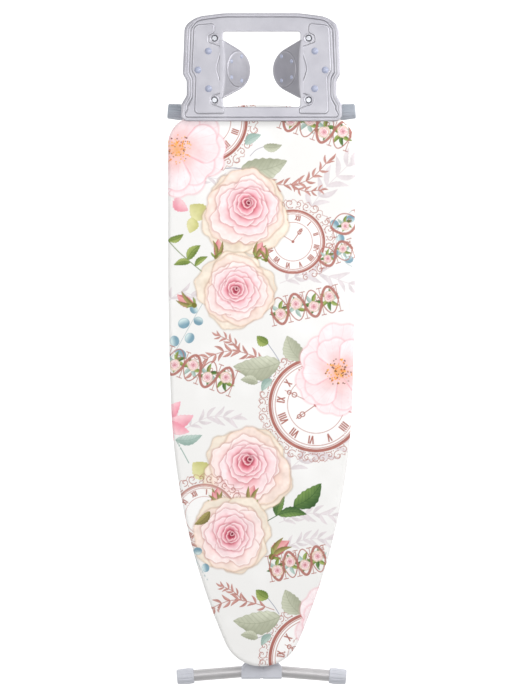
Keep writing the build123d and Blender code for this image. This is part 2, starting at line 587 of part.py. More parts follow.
def rest_hoop():
    """Bent steel rod that carries the iron rest and runs in under the board."""
    start, rise, far = TAIL_Y - 205, TAIL_Y - 3, TAIL_Y + 176
    right = [(HOOP_X, start, HOOP_LOW_Z), (HOOP_X, rise, HOOP_LOW_Z), (HOOP_X, rise, HOOP_TOP_Z),
             (HOOP_X, far, HOOP_TOP_Z)]
    left = [(-x, y, z) for x, y, z in reversed(right)]
    path = FilletPolyline(*right, *left, radius=[14, 14, 28, 28, 14, 14])
    rod = sweep(Plane(path @ 0, z_dir=path % 0) * Circle(HOOP_RADIUS), path)
    hole = Cylinder(2.5, 60)
    nut_seat = Pos(0, 0, HOOP_TOP_Z - HOOP_RADIUS - REST_TOP) * Cylinder(5.5, 9, align=DOWNWARDS)
    return rod - [rest_place(place * (hole + nut_seat)) for place in screw_places()]


def rest_screws():
    """Screws through the plate's bosses and the hoop."""
    made = []
    for place in screw_places():
        head = Pos(0, 0, -3) * Cylinder(5, 2, align=UPWARDS)
        head -= Pos(0, 0, -1.6) * Cylinder(1.6, 3, align=UPWARDS)
        shank = Pos(0, 0, -2.9) * Cylinder(2.48, 14, align=DOWNWARDS)
        made.append(rest_place(place * (head + shank)))
    return joined(made)


def rest_nuts():
    """Lock nuts under the hoop."""
    z = HOOP_TOP_Z - HOOP_RADIUS - REST_TOP - 0.1
    nut = Pos(0, 0, z) * extrude(RegularPolygon(4.6, 6) - Circle(2.5), -2.1)
    return joined(rest_place(p * nut) for p in screw_places())


def hoop_clamps():
    """Saddles that hold the hoop's ends under two ribs."""
    made = []
    for rib in ("hinge", "tail"):
        y = RIB_PLACES[rib]
        for _, s in SIDES:
            x = s * HOOP_X
            saddle = block((x - 9, x + 9), (y - 10, y + 10), (HOOP_LOW_Z - 7, RIB_BOTTOM), 3)
            hole = bar((x, y - 20, HOOP_LOW_Z), (x, y + 20, HOOP_LOW_Z), HOOP_RADIUS + 0.02)
            made.append(saddle - hole)
    return joined(made)


def rivet(x, y, top):
    return bar((x, y, top), (x, y, top - RIVET_HEAD), RIVET_RADIUS)


def panel_rivets():
    """Rivets that hold the hinge bracket and the guide brackets under their ribs."""
    spots = [(s * x, HINGE_Y + t * 14) for s in (-1, 1) for t in (-1, 1) for x in (14, 28)]
    made = [rivet(x, y, RIB_BOTTOM - EAR_THICKNESS) for x, y in spots]
    for y in (GUIDE_START - 8, GUIDE_END + 8):
        made += [rivet(s * 14, y, RIB_BOTTOM - 2) for s in (-1, 1)]
    return joined(made)


# ---------------------------------------------------------------- every node
def nodes():
    made = {
        "cover": cover(),
        "underlay_pad": underlay_pad(),
        "steam_panel": steam_panel(),
        "panel_frame": panel_frame(),
        "guide_bracket_nose": guide_bracket(GUIDE_START, -1),
        "guide_bracket_tail": guide_bracket(GUIDE_END, 1),
        "hinge_bracket": hinge_bracket(),
        "hinge_axle": hinge_axle(),
        "hinge_washers": hinge_washers(),
        "panel_rivets": panel_rivets(),
        "iron_rest": iron_rest(),
        "plate_studs": plate_studs(),
        "wing_studs": wing_studs(),
        "rest_hoop": rest_hoop(),
        "rest_screws": rest_screws(),
        "rest_nuts": rest_nuts(),
        "hoop_clamps": hoop_clamps(),
        "front_foot_tube": front(foot_tube(FRONT_FOOT_HALF)),
        "front_connector": front(front_connector()),
        "front_connector_screws": front(front_screws()),
        "front_tie_upper": front(coped_tie(FRONT_SPACING, 200, 6)),
        "front_tie_lower": front(coped_tie(FRONT_SPACING, 640, 6)),
        "pivot_bolt": pivot_bolt(),
        "pivot_nut": pivot_nut(),
        "pivot_spacers": pivot_spacers(),
        "pivot_sleeve": pivot_ring(-9.3, 9.3, 7),
        "rear_foot_tube": rear(foot_tube(REAR_FOOT_HALF)),
        "rear_axle": rear(rear_axle()),
        "rear_axle_spacers": rear(rear_axle_spacers()),
        "rear_brace": rear(coped_tie(REAR_SPACING, LEG_LENGTH - 110, 8, 7)),
        "slide_carriage": carriage(),
        "lever_pin": lever_pin(),
        "release_lever": release_lever(),
        "lever_grip": lever_grip(),
    }
    for place, y in RIB_PLACES.items():
        made["cross_rib_" + place] = cross_rib(y)
    front_end = foot_centre(FRONT_FOOT_HALF) - TUBE_RADIUS
    rear_end = foot_centre(REAR_FOOT_HALF) + REAR_SPACING * tan(radians(FOOT_SLOPE)) - TUBE_RADIUS - 1.5
    for name, s in SIDES:
        made["guide_rod_" + name] = guide_rod(s * GUIDE_X)
        made["front_tube_" + name] = front(
            leg_tube(-s * FRONT_SPACING, front_end, AXLE_RADIUS + RUNNING, PIVOT_RADIUS)
        )
        made["rear_tube_" + name] = rear(
            leg_tube(s * REAR_SPACING, rear_end, AXLE_RADIUS, PIVOT_RADIUS + RUNNING)
        )
        made["front_plug_" + name] = front(tube_plug(-s * FRONT_SPACING))
        made["rear_plug_" + name] = rear(tube_plug(s * REAR_SPACING))
        made["front_cap_" + name] = levelled(front(foot_cap(FRONT_FOOT_HALF, -s)))
        made["rear_cap_" + name] = levelled(rear(foot_cap(REAR_FOOT_HALF, s)))
        made["rear_connector_" + name] = rear(rear_connector(s * REAR_SPACING))
    return made


os.makedirs("parts", exist_ok=True)
for node, shape in nodes().items():
    export_step(shape, f"parts/{node}.step")
print("hinge at", round(HINGE_Y, 3), AXLE_Z, "crossing at", round(PIVOT_Y, 3), round(PIVOT_Z, 3))
print("slide axle at", round(SLIDE_Y, 3), "to", round(SLIDE_OPEN_Y, 3), "fall", round(FOLD_ANGLE, 4))
print("lever pin at", round(SLIDE_Y + LEVER_PIN_Y, 3), "half width", round(HALF_WIDTH, 2))
print("nose at", round(NOSE_Y, 3), "tail at", round(TAIL_Y, 3))
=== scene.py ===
import json
from math import acos, atan2, cos, degrees, pi, radians, sin, sqrt

import bpy
import numpy as np
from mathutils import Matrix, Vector


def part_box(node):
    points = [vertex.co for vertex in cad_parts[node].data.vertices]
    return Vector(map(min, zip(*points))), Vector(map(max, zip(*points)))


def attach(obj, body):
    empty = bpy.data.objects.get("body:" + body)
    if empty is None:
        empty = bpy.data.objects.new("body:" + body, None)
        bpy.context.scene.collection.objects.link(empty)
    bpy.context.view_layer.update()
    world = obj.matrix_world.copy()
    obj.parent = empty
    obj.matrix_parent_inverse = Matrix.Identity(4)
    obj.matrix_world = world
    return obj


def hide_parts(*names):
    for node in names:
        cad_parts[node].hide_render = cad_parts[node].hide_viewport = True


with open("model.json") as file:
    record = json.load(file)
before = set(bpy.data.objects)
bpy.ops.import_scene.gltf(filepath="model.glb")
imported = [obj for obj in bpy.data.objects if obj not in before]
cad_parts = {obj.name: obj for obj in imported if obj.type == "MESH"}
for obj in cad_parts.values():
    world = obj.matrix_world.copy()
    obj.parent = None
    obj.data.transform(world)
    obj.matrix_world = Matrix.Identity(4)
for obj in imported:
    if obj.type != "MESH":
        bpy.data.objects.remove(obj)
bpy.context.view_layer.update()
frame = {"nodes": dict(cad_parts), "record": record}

# Lengths are in millimetres, in the CAD model's frame, and become metres as a mesh is made.
MM = 0.001


def corners(node):
    """Lowest and highest corner of a CAD node."""
    return [np.array(corner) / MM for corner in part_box(node)]


(_, NOSE_Y, _), (HALF_WIDTH, TAIL_Y, COVER_TOP) = corners("cover")
NOSE_ARCS = ((86.0, 66.5), (1430.0, 21.3), (9000.0, 2.2))  # radius and turn, from the nose's tip
CORNER_RADIUS, TAIL_RADIUS = 62.0, 470.0


# ---- meshes
def mesh_object(name, points, faces, material, body="board", smooth=True):
    """A mesh from points in mm and arrays of faces with three or four corners."""
    mesh = bpy.data.meshes.new(name)
    mesh.vertices.add(len(points))
    mesh.vertices.foreach_set("co", (np.asarray(points, float) * MM).ravel())
    loops = np.concatenate([np.asarray(f).ravel() for f in faces])
    sizes = np.concatenate([np.full(len(f), np.shape(f)[1]) for f in faces])
    mesh.loops.add(len(loops))
    mesh.loops.foreach_set("vertex_index", loops)
    mesh.polygons.add(len(sizes))
    mesh.polygons.foreach_set("loop_start", np.concatenate([[0], np.cumsum(sizes)[:-1]]))
    mesh.polygons.foreach_set("loop_total", sizes)
    mesh.update(calc_edges=True)
    mesh.validate()
    if smooth:
        mesh.shade_smooth()
    mesh.materials.append(material)
    made = bpy.data.objects.new(name, mesh)
    bpy.context.collection.objects.link(made)
    if body:
        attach(made, body)
    return made


def quads(index, around=False, flip=False):
    """Faces between the rows and columns of an array of point numbers."""
    if around:
        index = np.hstack([index, index[:, :1]])
    made = np.stack([index[:-1, :-1], index[:-1, 1:], index[1:, 1:], index[1:, :-1]], axis=-1)
    return made.reshape(-1, 4)[:, ::-1] if flip else made.reshape(-1, 4)


# ---- board outline
def outline_arcs():
    """The right half of the board's outline as (centre, radius, first heading, last heading)."""
    arcs, point, heading = [], np.array([0.0, NOSE_Y]), 0.0
    for radius, turn in NOSE_ARCS:
        centre = point + radius * np.array([-sin(heading), cos(heading)])
        arcs.append((centre, radius, heading, heading + radians(turn)))
        heading += radians(turn)
        point = centre + radius * np.array([sin(heading), -cos(heading)])
    reach, corner_x = TAIL_RADIUS - CORNER_RADIUS, HALF_WIDTH - CORNER_RADIUS
    corner_y = TAIL_Y - TAIL_RADIUS + sqrt(reach**2 - corner_x**2)
    last = pi / 2 + acos(corner_x / reach)
    arcs.append((np.array([corner_x, corner_y]), CORNER_RADIUS, pi / 2, last))
    arcs.append((np.array([0.0, TAIL_Y - TAIL_RADIUS]), TAIL_RADIUS, last, pi))
    return arcs


ARCS = outline_arcs()
STRAIGHT = (ARCS[2][0][1], ARCS[3][0][1])  # where the outline's sides run straight along Y


def outline_samples(spacing):
    """Centres, radii and outward directions of points along the right half, nose to wide end."""
    made = []
    for number, (centre, radius, first, last) in enumerate(ARCS):
        if number == 3:
            for y in np.linspace(*STRAIGHT, max(2, round((STRAIGHT[1] - STRAIGHT[0]) / spacing)))[1:-1]:
                made.append((0, y, HALF_WIDTH, 1, 0))
        steps = max(2, round(radius * (last - first) / spacing))
        headings = np.linspace(first, last, steps + 1)[0 if number == 0 else 1:]
        made += [(*centre, radius, sin(h), -cos(h)) for h in headings]
    return np.array(made)


def outline(samples, inset):
    """Points of the half outline, moved inwards."""
    reach = samples[:, 2] - inset
    return samples[:, :2] + samples[:, 3:] * reach[:, None]


def ring(samples, inset):
    """Points all round the outline, moved inwards."""
    right = outline(samples, inset)
    right[0, 0] = right[-1, 0] = 0
    return np.vstack([right, (right * (-1, 1))[-2:0:-1]])


def inset_of(x, y):
    """How far points lie inside the outline."""
    x, nearest = np.abs(x), np.full(np.shape(x), 1e9)
    for centre, radius, first, last in ARCS:
        dx, dy = x - centre[0], y - centre[1]
        heading = np.arctan2(dx, -dy)
        on = (heading >= first - 0.02) & (heading <= last + 0.02)
        nearest = np.where(on, np.minimum(nearest, radius - np.hypot(dx, dy)), nearest)
    on = (y >= STRAIGHT[0]) & (y <= STRAIGHT[1])
    return np.where(on, np.minimum(nearest, HALF_WIDTH - x), nearest)


# ---- cover print
SOFT = 0.9  # width of a printed edge, mm
GROUND, GROUND_LIGHT = (240, 239, 237), (249, 248, 247)
RUST, RUST_FLECKS = (176, 112, 102), ((206, 150, 140), (138, 74, 66))
GREY_STEM, SLATE_STEM, BLUE_STEM = (150, 146, 160), (120, 116, 136), (120, 128, 150)
# Leaves and petals go from a tone at the veins and edge to a paler one.
RUST_LEAF = (RUST, (214, 172, 164))
GHOST_LEAF = ((222, 212, 215), (228, 221, 223))
GREY_LEAF = ((154, 158, 134), (216, 219, 198))
GREEN_LEAF = ((92, 116, 48), (184, 196, 116))
DARK_LEAF = ((50, 84, 44), (128, 158, 84))
LIME_LEAF = ((196, 194, 120), (232, 228, 176))
TEAL_LEAF = ((140, 168, 158), (204, 220, 212))
BLUE_LEAF = ((104, 146, 166), (204, 224, 224))
BROWN_LEAF = ((112, 102, 56), (188, 176, 112))
PINK_PETAL = ((236, 140, 160), (252, 218, 222))
BUD_PETAL, BUD_FOLD = ((214, 120, 128), (250, 206, 200)), ((190, 90, 104), (236, 160, 166))


def noise(x, y, size, seed):
    """Smooth random numbers from 0 to 1 over a plane, with bumps of about one size."""
    table = np.random.default_rng(seed).random((64, 64))
    column, row = np.floor(x / size), np.floor(y / size)
    s, t = x / size - column, y / size - row
    s, t = s * s * (3 - 2 * s), t * t * (3 - 2 * t)
    i, j = column.astype(int) % 64, row.astype(int) % 64
    i2, j2 = (i + 1) % 64, (j + 1) % 64
    near, far = table[i, j] * (1 - s) + table[i2, j] * s, table[i, j2] * (1 - s) + table[i2, j2] * s
    return near * (1 - t) + far * t


def clamp(value):
    """A value kept within 0 to 1."""
    return np.clip(value, 0, 1)


def inside(distance):
    """1 where a signed distance is positive, with a soft edge."""
    return clamp(distance / SOFT + 0.5)


def fading(distance, width):
    """1 at no distance, falling to 0 over a width."""
    return clamp(1 - distance / width)


class Print:
    """Colours of a printed cloth at given points, x across the board and y from the wide end, in mm."""

    def __init__(self, x, y):
        self.x, self.y = x, y
        mottle = 0.7 * noise(x, y, 95, 1) + 0.3 * noise(x, y, 33, 2)
        self.colour = np.empty((len(x), 3))
        self.colour[:] = GROUND
        self.paint(slice(None), clamp(mottle * 3 - 1.55) * 0.75, GROUND_LIGHT)

    def near(self, x, y, radius, turn=0.0):
        """The points within a radius, and their coordinates about a centre, turned."""
        at = np.flatnonzero((np.abs(self.x - x) < radius) & (np.abs(self.y - y) < radius))
        u, v = self.x[at] - x, self.y[at] - y
        c, s = cos(radians(turn)), sin(radians(turn))
        return at, u * c + v * s, v * c - u * s

    def paint(self, at, amount, colour):
        self.colour[at] = mixed(self.colour[at], colour, amount)

    def dot(self, x, y, size, colour, strength=1.0):
        at, u, v = self.near(x, y, size + SOFT)
        self.paint(at, inside(size - np.hypot(u, v)) * strength, colour)


def mixed(a, b, amount):
    amount = np.asarray(amount)[:, None]
    return np.asarray(a) * (1 - amount) + np.asarray(b) * amount


def wash(colour, x, y, seed, strength):
    """Uneven watercolour strength over a colour."""
    uneven = 0.6 * noise(x, y, 17, seed) + 0.4 * noise(x, y, 6, seed + 1) - 0.5
    return np.clip(colour + uneven[:, None] * 2 * strength, 0, 255)


def stroke(cloth, points, width, colour, strength=1.0):
    """A painted line through some points."""
    points = np.array(points, float)
    middle, reach = points.mean(0), np.ptp(points, axis=0).max() / 2 + 3 * width + 6
    at, u, v = cloth.near(*middle, reach)
    nearest = np.full(len(at), 1e9)
    for a, b in zip(points - middle, points[1:] - middle):
        run = b - a
        t = clamp(((u - a[0]) * run[0] + (v - a[1]) * run[1]) / max(run @ run, 1e-9))
        nearest = np.minimum(nearest, np.hypot(u - a[0] - t * run[0], v - a[1] - t * run[1]))
    cloth.paint(at, inside(width / 2 - nearest) * strength, colour)


def curve(points):
    """A smooth line through a few points, with 24 steps from each to the next."""
    points = np.array(points, float)
    ends = np.vstack([2 * points[0] - points[1], points, 2 * points[-1] - points[-2]])
    made, t = [], np.linspace(0, 1, 24, endpoint=False)[:, None]
    for a, b, c, d in zip(ends, ends[1:], ends[2:], ends[3:]):
        bends = (2 * a - 5 * b + 4 * c - d) * t**2 + (3 * b - a - 3 * c + d) * t**3
        made.append(0.5 * (2 * b + (c - a) * t + bends))
    return np.vstack(made + [points[-1:]])


def station(line, share):
    """The point that lies a share of the way along a line, and the heading there in degrees."""
    k = int(share * (len(line) - 2))
    return line[k], degrees(atan2(*(line[k + 1] - line[k])[::-1]))


def stalk(cloth, points, width, colour):
    stroke(cloth, curve(points), width, colour)


def leaf(cloth, x, y, length, width, turn, tones, seed, veins=True):
    """A leaf from its stalk's end, with a midrib, veins and a darker edge."""
    at, u, v = cloth.near(x, y, length * 1.05 + 2, turn)
    t = clamp(u / length)
    v = v - 0.10 * length * np.sin(pi * t) * (1 if seed % 2 else -1)
    half = width / 2 * np.sin(pi * t**0.8) ** 0.85 * (1 + 0.05 * np.sin(t * 40 + seed))
    body = inside(half - np.abs(v)) * inside(u) * inside(length - u)
    side = clamp(0.5 + v / width * (1.3 if seed % 3 else -1.3))
    colour = wash(mixed(*tones, 0.2 + 0.7 * side), u + 50 * seed, v, 20 + seed % 7, 13)
    cloth.paint(at, body, colour)
    if veins:
        slant = (u - np.abs(v) * 0.9) / (0.085 * length + 2.2)
        cloth.paint(at, body * fading(np.abs(slant - np.round(slant)), 0.16) * 0.4, tones[0])
        cloth.paint(at, body * inside(0.55 - np.abs(v)) * 0.75, tones[0])
    cloth.paint(at, body * fading(half - np.abs(v), 1.6) * 0.5, tones[0])


def sprig(cloth, points, leaflet, tones, pairs, seed):
    """A stem with leaflets on both sides and one at its tip."""
    line = curve(points)
    stroke(cloth, line, 1.3, tones[0])
    for number, share in enumerate(np.linspace(0.12, 0.97, pairs)):
        place, heading = station(line, share)
        size = leaflet * (1.05 - 0.35 * abs(share - 0.55))
        for side in (-1, 1):
            spread = side * (40 + 9 * sin(seed + 2.1 * number + side))
            leaf(cloth, *place, size, size * 0.25, heading + spread, tones, seed + number, False)
    leaf(cloth, *line[-1], leaflet, leaflet * 0.26, station(line, 1)[1], tones, seed, False)


def branch(cloth, stem, leaves, tones, seed):
    """A curved stem with leaves placed one by one: share of the stem, length, width, angle to the stem."""
    line = curve(stem)
    stroke(cloth, line, 1.5, tones[0])
    for number, (share, length, width, spread) in enumerate(leaves):
        place, heading = station(line, share)
        leaf(cloth, *place, length, width, heading + spread, tones, seed + number)


ROSE_LAYERS = [  # size, petals, first petal's angle, colour deep inside, colour at the lip
    (1.00, 4, 35, (222, 196, 168), (244, 232, 216)),
    (0.90, 3, 80, (232, 190, 174), (250, 230, 220)),
    (0.80, 5, 15, (238, 184, 180), (253, 232, 229)),
    (0.63, 4, 70, (234, 158, 166), (254, 228, 230)),
    (0.47, 4, 20, (230, 140, 150), (253, 217, 222)),
    (0.34, 3, 95, (220, 112, 128), (252, 209, 216)),
    (0.23, 3, 40, (206, 88, 106), (249, 190, 200)),
    (0.13, 3, 150, (176, 60, 80), (242, 164, 176)),
    (0.06, 2, 20, (116, 28, 44), (212, 104, 124)),
]
ROSE_RIM, ROSE_OUTER_RIM = (254, 246, 242), (240, 214, 190)


def rose(cloth, x, y, radius, turn, lift, seed):
    """An open rose of overlapping petals, with its heart moved off its middle by lift."""
    rng = np.random.default_rng(seed)
    at, u, v = cloth.near(x, y, radius * 1.3, turn)
    for size, petals, first, deep, lip in ROSE_LAYERS:
        slip = rng.uniform(-0.035, 0.035, 2) * radius * (size < 0.95)
        du, dv = u - slip[0], v - slip[1] - lift * radius * (1 - size)
        rho, phi = np.hypot(du, dv) / radius, np.degrees(np.arctan2(dv, du))
        rho = rho * (1 + 0.03 * (noise(du, dv, 9, seed + 3) - 0.5))
        for number in range(petals):
            middle = first + 360 * number / petals + rng.uniform(-9, 9)
            reach = 180 / petals * rng.uniform(1.18, 1.5)
            t = ((phi - middle + 180) % 360 - 180) / reach
            ragged = 0.03 * np.cos(6 * t + number) + 0.022 * np.sin(15 * t + 3 * number)
            lobe = size * rng.uniform(0.92, 1.08) * (1 - 0.27 * np.abs(t) ** 2.4 + ragged)
            gap = (lobe - rho) * radius
            body = inside(gap) * (np.abs(t) < 1)
            shadow = fading(np.abs(gap), 0.045 * radius + 1.2) * (gap < 0) * (np.abs(t) < 0.97)
            cloth.paint(at, shadow * 0.6 * size**0.3, np.array(deep) * 0.84)
            light = clamp((clamp(rho / lobe) - 0.38) * 2.1 - 0.22 * t * (-1) ** number) ** 1.2
            cloth.paint(at, body, wash(mixed(deep, lip, light), u, v, seed + number, 15))
            cloth.paint(at, clamp((np.abs(t) - 0.8) / 0.2) * body * 0.35, deep)
            rim = fading(np.abs(gap - 0.8), 0.014 * radius + 0.8) * body
            cloth.paint(at, rim * 0.75, ROSE_RIM if size < 0.9 else ROSE_OUTER_RIM)


PALE_PETALS, STAMENS = 6, 110
PALE_HEART, PALE_MIDDLE, PALE_TIP = (246, 190, 184), (249, 222, 225), (252, 243, 245)
PALE_SHADOW, PALE_STREAK = (238, 160, 170), (240, 160, 168)
PALE_RIM, PALE_EYE = (236, 150, 160), (240, 170, 96)
STAMEN_COLOURS = ((238, 138, 48), (246, 176, 70), (104, 60, 40))


def pale_flower(cloth, x, y, radius, turn, seed):
    """An open pale flower with a tuft of orange stamens."""
    rng = np.random.default_rng(seed)
    at, u, v = cloth.near(x, y, radius * 1.3, turn)
    rho, phi = np.hypot(u, v) / radius, np.degrees(np.arctan2(v, u))
    for ring, (size, shift) in enumerate(((1.0, 0), (0.8, 30))):
        for number in range(PALE_PETALS):
            middle = shift + 360 * number / PALE_PETALS + rng.uniform(-8, 8)
            t = ((phi - middle + 180) % 360 - 180) / (180 / PALE_PETALS * 1.35)
            notched = 1 - 0.34 * np.abs(t) ** 3 - 0.05 * np.exp(-((t * 6) ** 2))
            lobe = size * rng.uniform(0.92, 1.06) * notched
            gap = (lobe - rho) * radius
            body = inside(gap) * (np.abs(t) < 1)
            depth = clamp(rho / lobe)
            heart = mixed(PALE_HEART, PALE_MIDDLE, clamp(depth * 1.5))
            colour = mixed(heart, PALE_TIP, clamp((depth - 0.45) * 2 - 0.5 * t) * 0.8)
            shadow = fading(np.abs(gap), 0.05 * radius) * (gap < 0) * (np.abs(t) < 1)
            cloth.paint(at, shadow * 0.4, PALE_SHADOW)
            cloth.paint(at, body, wash(colour, u, v, seed + number + 9 * ring, 9))
            streak = fading(np.abs(np.sin(t * 9 + 0.7 * np.sin(depth * 5))), 0.12)
            cloth.paint(at, body * streak * 0.22, PALE_STREAK)
            side = clamp((np.abs(t) - 0.86) / 0.14)
            cloth.paint(at, np.maximum(fading(gap, 1.5) * 0.35, side * 0.65) * body, PALE_RIM)
    cloth.paint(at, fading(rho, 0.17) * 0.75, PALE_EYE)
    for _ in range(STAMENS):
        angle, far = rng.uniform(0, 2 * pi), 0.3 * radius * rng.uniform(0.1, 1) ** 0.7
        away = np.hypot(u - far * cos(angle), v - far * sin(angle))
        colour = STAMEN_COLOURS[rng.integers(0, 3)]
        cloth.paint(at, inside(rng.uniform(1.0, 1.9) - away) * 0.9, colour)


NUMERALS = ["XII", "I", "II", "III", "IIII", "V", "VI", "VII", "VIII", "IX", "X", "XI"]
NUMERAL_WIDTH = {"I": 0.045, "V": 0.085, "X": 0.085}  # of the dial's radius
# How far each line of a letter slants, in its own width, and how high up it meets the middle.
NUMERAL_SLANT = {"I": ((0, 0),), "V": ((-0.4, 0), (0.4, 0)), "X": ((-0.8, 0.5), (0.8, 0.5))}


def numeral(cloth, x, y, radius, turn, hour):
    """A Roman number on a dial, its foot towards the middle."""
    at, u, v = cloth.near(x, y, radius, turn + 30 * hour)
    low, high = 0.66 * radius, 0.83 * radius
    t = clamp((-v - low) / (high - low))
    on = inside(-v - low) * inside(high + v)
    left = -sum(NUMERAL_WIDTH[letter] for letter in NUMERALS[hour]) / 2 * radius
    for letter in NUMERALS[hour]:
        wide = NUMERAL_WIDTH[letter] * radius
        for slope, crossing in NUMERAL_SLANT[letter]:
            line = np.abs(u - left - wide / 2 - wide * slope * (t - crossing))
            cloth.paint(at, on * inside(0.011 * radius + 0.35 - line), RUST)
        left += wide


def scroll(cloth, x, y, size, turn, hand):
    """A small spiral curl."""
    at, u, v = cloth.near(x, y, size * 1.3, turn)
    rho, phi = np.hypot(u, v), np.arctan2(v * hand, u)
    last = 2 * pi * 1.35
    pitch = size / last
    angle = phi + 2 * pi * np.round((rho / pitch - phi) / (2 * pi))
    on = (angle > 0.8) & (angle < last)
    cloth.paint(at, inside(0.75 - np.abs(rho - pitch * angle)) * on * 0.9, RUST)


def filigree(cloth, x, y, radius, first, last):
    """Curls and beads round part of a dial's rim."""
    steps = max(2, int(radians(last - first) * radius / 15))
    for number in range(steps + 1):
        angle = radians(first + (last - first) * number / steps)
        hand = 1 if number % 2 else -1
        size = (8.5, 11.0, 7.0)[number % 3]
        far = radius * 1.02 + size + (4 if number % 2 else 1)
        scroll(cloth, x + far * cos(angle), y + far * sin(angle), size, degrees(angle) + 90 * hand, hand)
        for a in (angle - radians(3), angle + radians(3)):
            cloth.dot(x + (radius + 3.4) * cos(a), y + (radius + 3.4) * sin(a), 1.1, RUST)
    line = []
    for k, a in enumerate(np.radians(np.linspace(first, last, steps * 4))):
        far = radius + 19 + 3.5 * sin(k * 1.9)
        line.append((x + far * cos(a), y + far * sin(a)))
    stroke(cloth, line, 1.0, RUST, 0.8)


def dial(cloth, x, y, radius, turn, curls, hands, strength=1.0):
    """A pocket clock's face with a rim, Roman numbers, two hands and curls outside it."""
    at, u, v = cloth.near(x, y, radius * 1.1)
    rho = np.hypot(u, v)
    cloth.paint(at, inside(radius - rho) * 0.85 * strength, (253, 252, 251))
    rim = inside(radius - rho) * inside(rho - 0.935 * radius)
    cloth.paint(at, rim * strength, wash(np.array([RUST] * len(at), float), u, v, 41, 12))
    for size, width in ((0.915, 0.9), (0.86, 0.8), (0.6, 0.7)):
        cloth.paint(at, inside(width - np.abs(rho - size * radius)) * 0.75 * strength, RUST)
    for hour in range(12):
        numeral(cloth, x, y, radius, turn, hour)
    for angle, length, width in ((hands[0], 0.72, 1.32), (hands[1], 0.5, 1.68)):
        across, down = cos(radians(angle)), sin(radians(angle))
        far = length * radius
        stroke(cloth, [(x, y), (x + far * across, y + far * down)], width, RUST, strength)
        for place, size in ((0.5, 0.05), (0.62, 0.04)):
            ring = place / 0.72 * far
            near, u2, v2 = cloth.near(x + ring * across, y + ring * down, 0.1 * radius)
            cloth.paint(near, inside(1.0 - np.abs(np.hypot(u2, v2) - size * radius)) * strength, RUST)
    cloth.paint(at, inside(0.045 * radius - rho) * strength, RUST)
    for first, last in curls:
        filigree(cloth, x, y, radius, first, last)


def bud(cloth, x, y, length, turn, seed):
    """A closed rosebud with its sepals, from its stalk's end."""
    for reach, width, spread, tones, shift in (
        (1, 0.5, 0, BUD_PETAL, 0), (0.98, 0.17, 0, BUD_FOLD, 1), (0.95, 0.2, -17, BROWN_LEAF, 2),
        (0.95, 0.2, 16, BROWN_LEAF, 2), (0.42, 0.12, -52, GREEN_LEAF, 3), (0.42, 0.12, 48, GREEN_LEAF, 3),
    ):
        leaf(cloth, x, y, length * reach, length * width, turn + spread, tones, seed + shift, False)
    cloth.dot(x, y, length * 0.13, (120, 118, 52))


def berries(cloth, stem, sizes):
    """Round eucalyptus leaves on both sides of a thin stem."""
    line = curve(stem)
    stroke(cloth, line, 0.9, (150, 172, 176), 0.9)
    for number, size in enumerate(sizes):
        k = int((0.1 + 0.88 * number / len(sizes)) * (len(line) - 2))
        run = line[k + 1] - line[k]
        across = np.array([-run[1], run[0]]) / np.hypot(*run) * (1 if number % 2 else -1) * size * 1.25
        at, u, v = cloth.near(*(line[k] + across), size * 1.4, 40 * number)
        rho = np.hypot(u / 1.15, v)
        body = inside(size - rho)
        colour = wash(mixed(*BLUE_LEAF, clamp(0.35 + v / size)), u, v, number + 60, 14)
        cloth.paint(at, body * 0.85, colour)
        cloth.paint(at, body * fading(size - rho, 1.6) * 0.55, BLUE_LEAF[0])


def speckled(cloth, line, width, seed):
    """A line of glittery ink."""
    stroke(cloth, line, width, RUST, 0.9)
    rng = np.random.default_rng(seed)
    for number in range(0, len(line) - 1, 2):
        place = line[number] + rng.uniform(-0.4, 0.4, 2) * width
        cloth.dot(*place, rng.uniform(0.3, 0.9), RUST_FLECKS[number % 4 // 2], 0.6)


def trellis(cloth, start, end, height, cells, seed):
    """A band of pointed ovals in rust ink, with little roses and leaves in their gaps."""
    start, end = np.array(start, float), np.array(end, float)
    run = end - start
    along = run / np.hypot(*run)
    across = np.array([-along[1], along[0]])
    t = np.linspace(0, 1, 26 * cells)
    wave = np.sin(t * pi * cells)
    wave = np.sign(wave) * np.abs(wave) ** 0.75 * height / 2
    for number in range(cells):
        centre = start + run * (number + 0.5) / cells
        for turn in (30, 105, 160, 215, 285, 340):
            tones = (GREEN_LEAF, TEAL_LEAF, DARK_LEAF)[(number + turn // 5) % 3]
            turn += 35 * number
            leaf(cloth, *centre, 0.42 * height, 0.14 * height, turn, tones, seed + number, False)
    for side, width in ((-1, 2.2), (1, 5.6)):
        line = start + t[:, None] * run + (side * wave)[:, None] * across
        speckled(cloth, line, width, seed + side)
    for place in np.linspace(0, 1, cells + 1):
        knot = start + run * place
        for side in (-1, 1):
            foot = knot + side * across * height * 0.5
            stroke(cloth, [foot - along * 5, foot + along * 5], 1.6, RUST)
            stroke(cloth, [knot, foot], 1.3, RUST)
    for number in range(cells):
        x, y = start + run * (number + 0.5) / cells + across * (height * 0.12 * (-1) ** number)
        rose(cloth, x, y, 0.21 * height, 60 * number, 0, seed + number)
        scroll(cloth, x + along[0] * 9, y - height * 0.3, 6.0, 50 * number, 1)


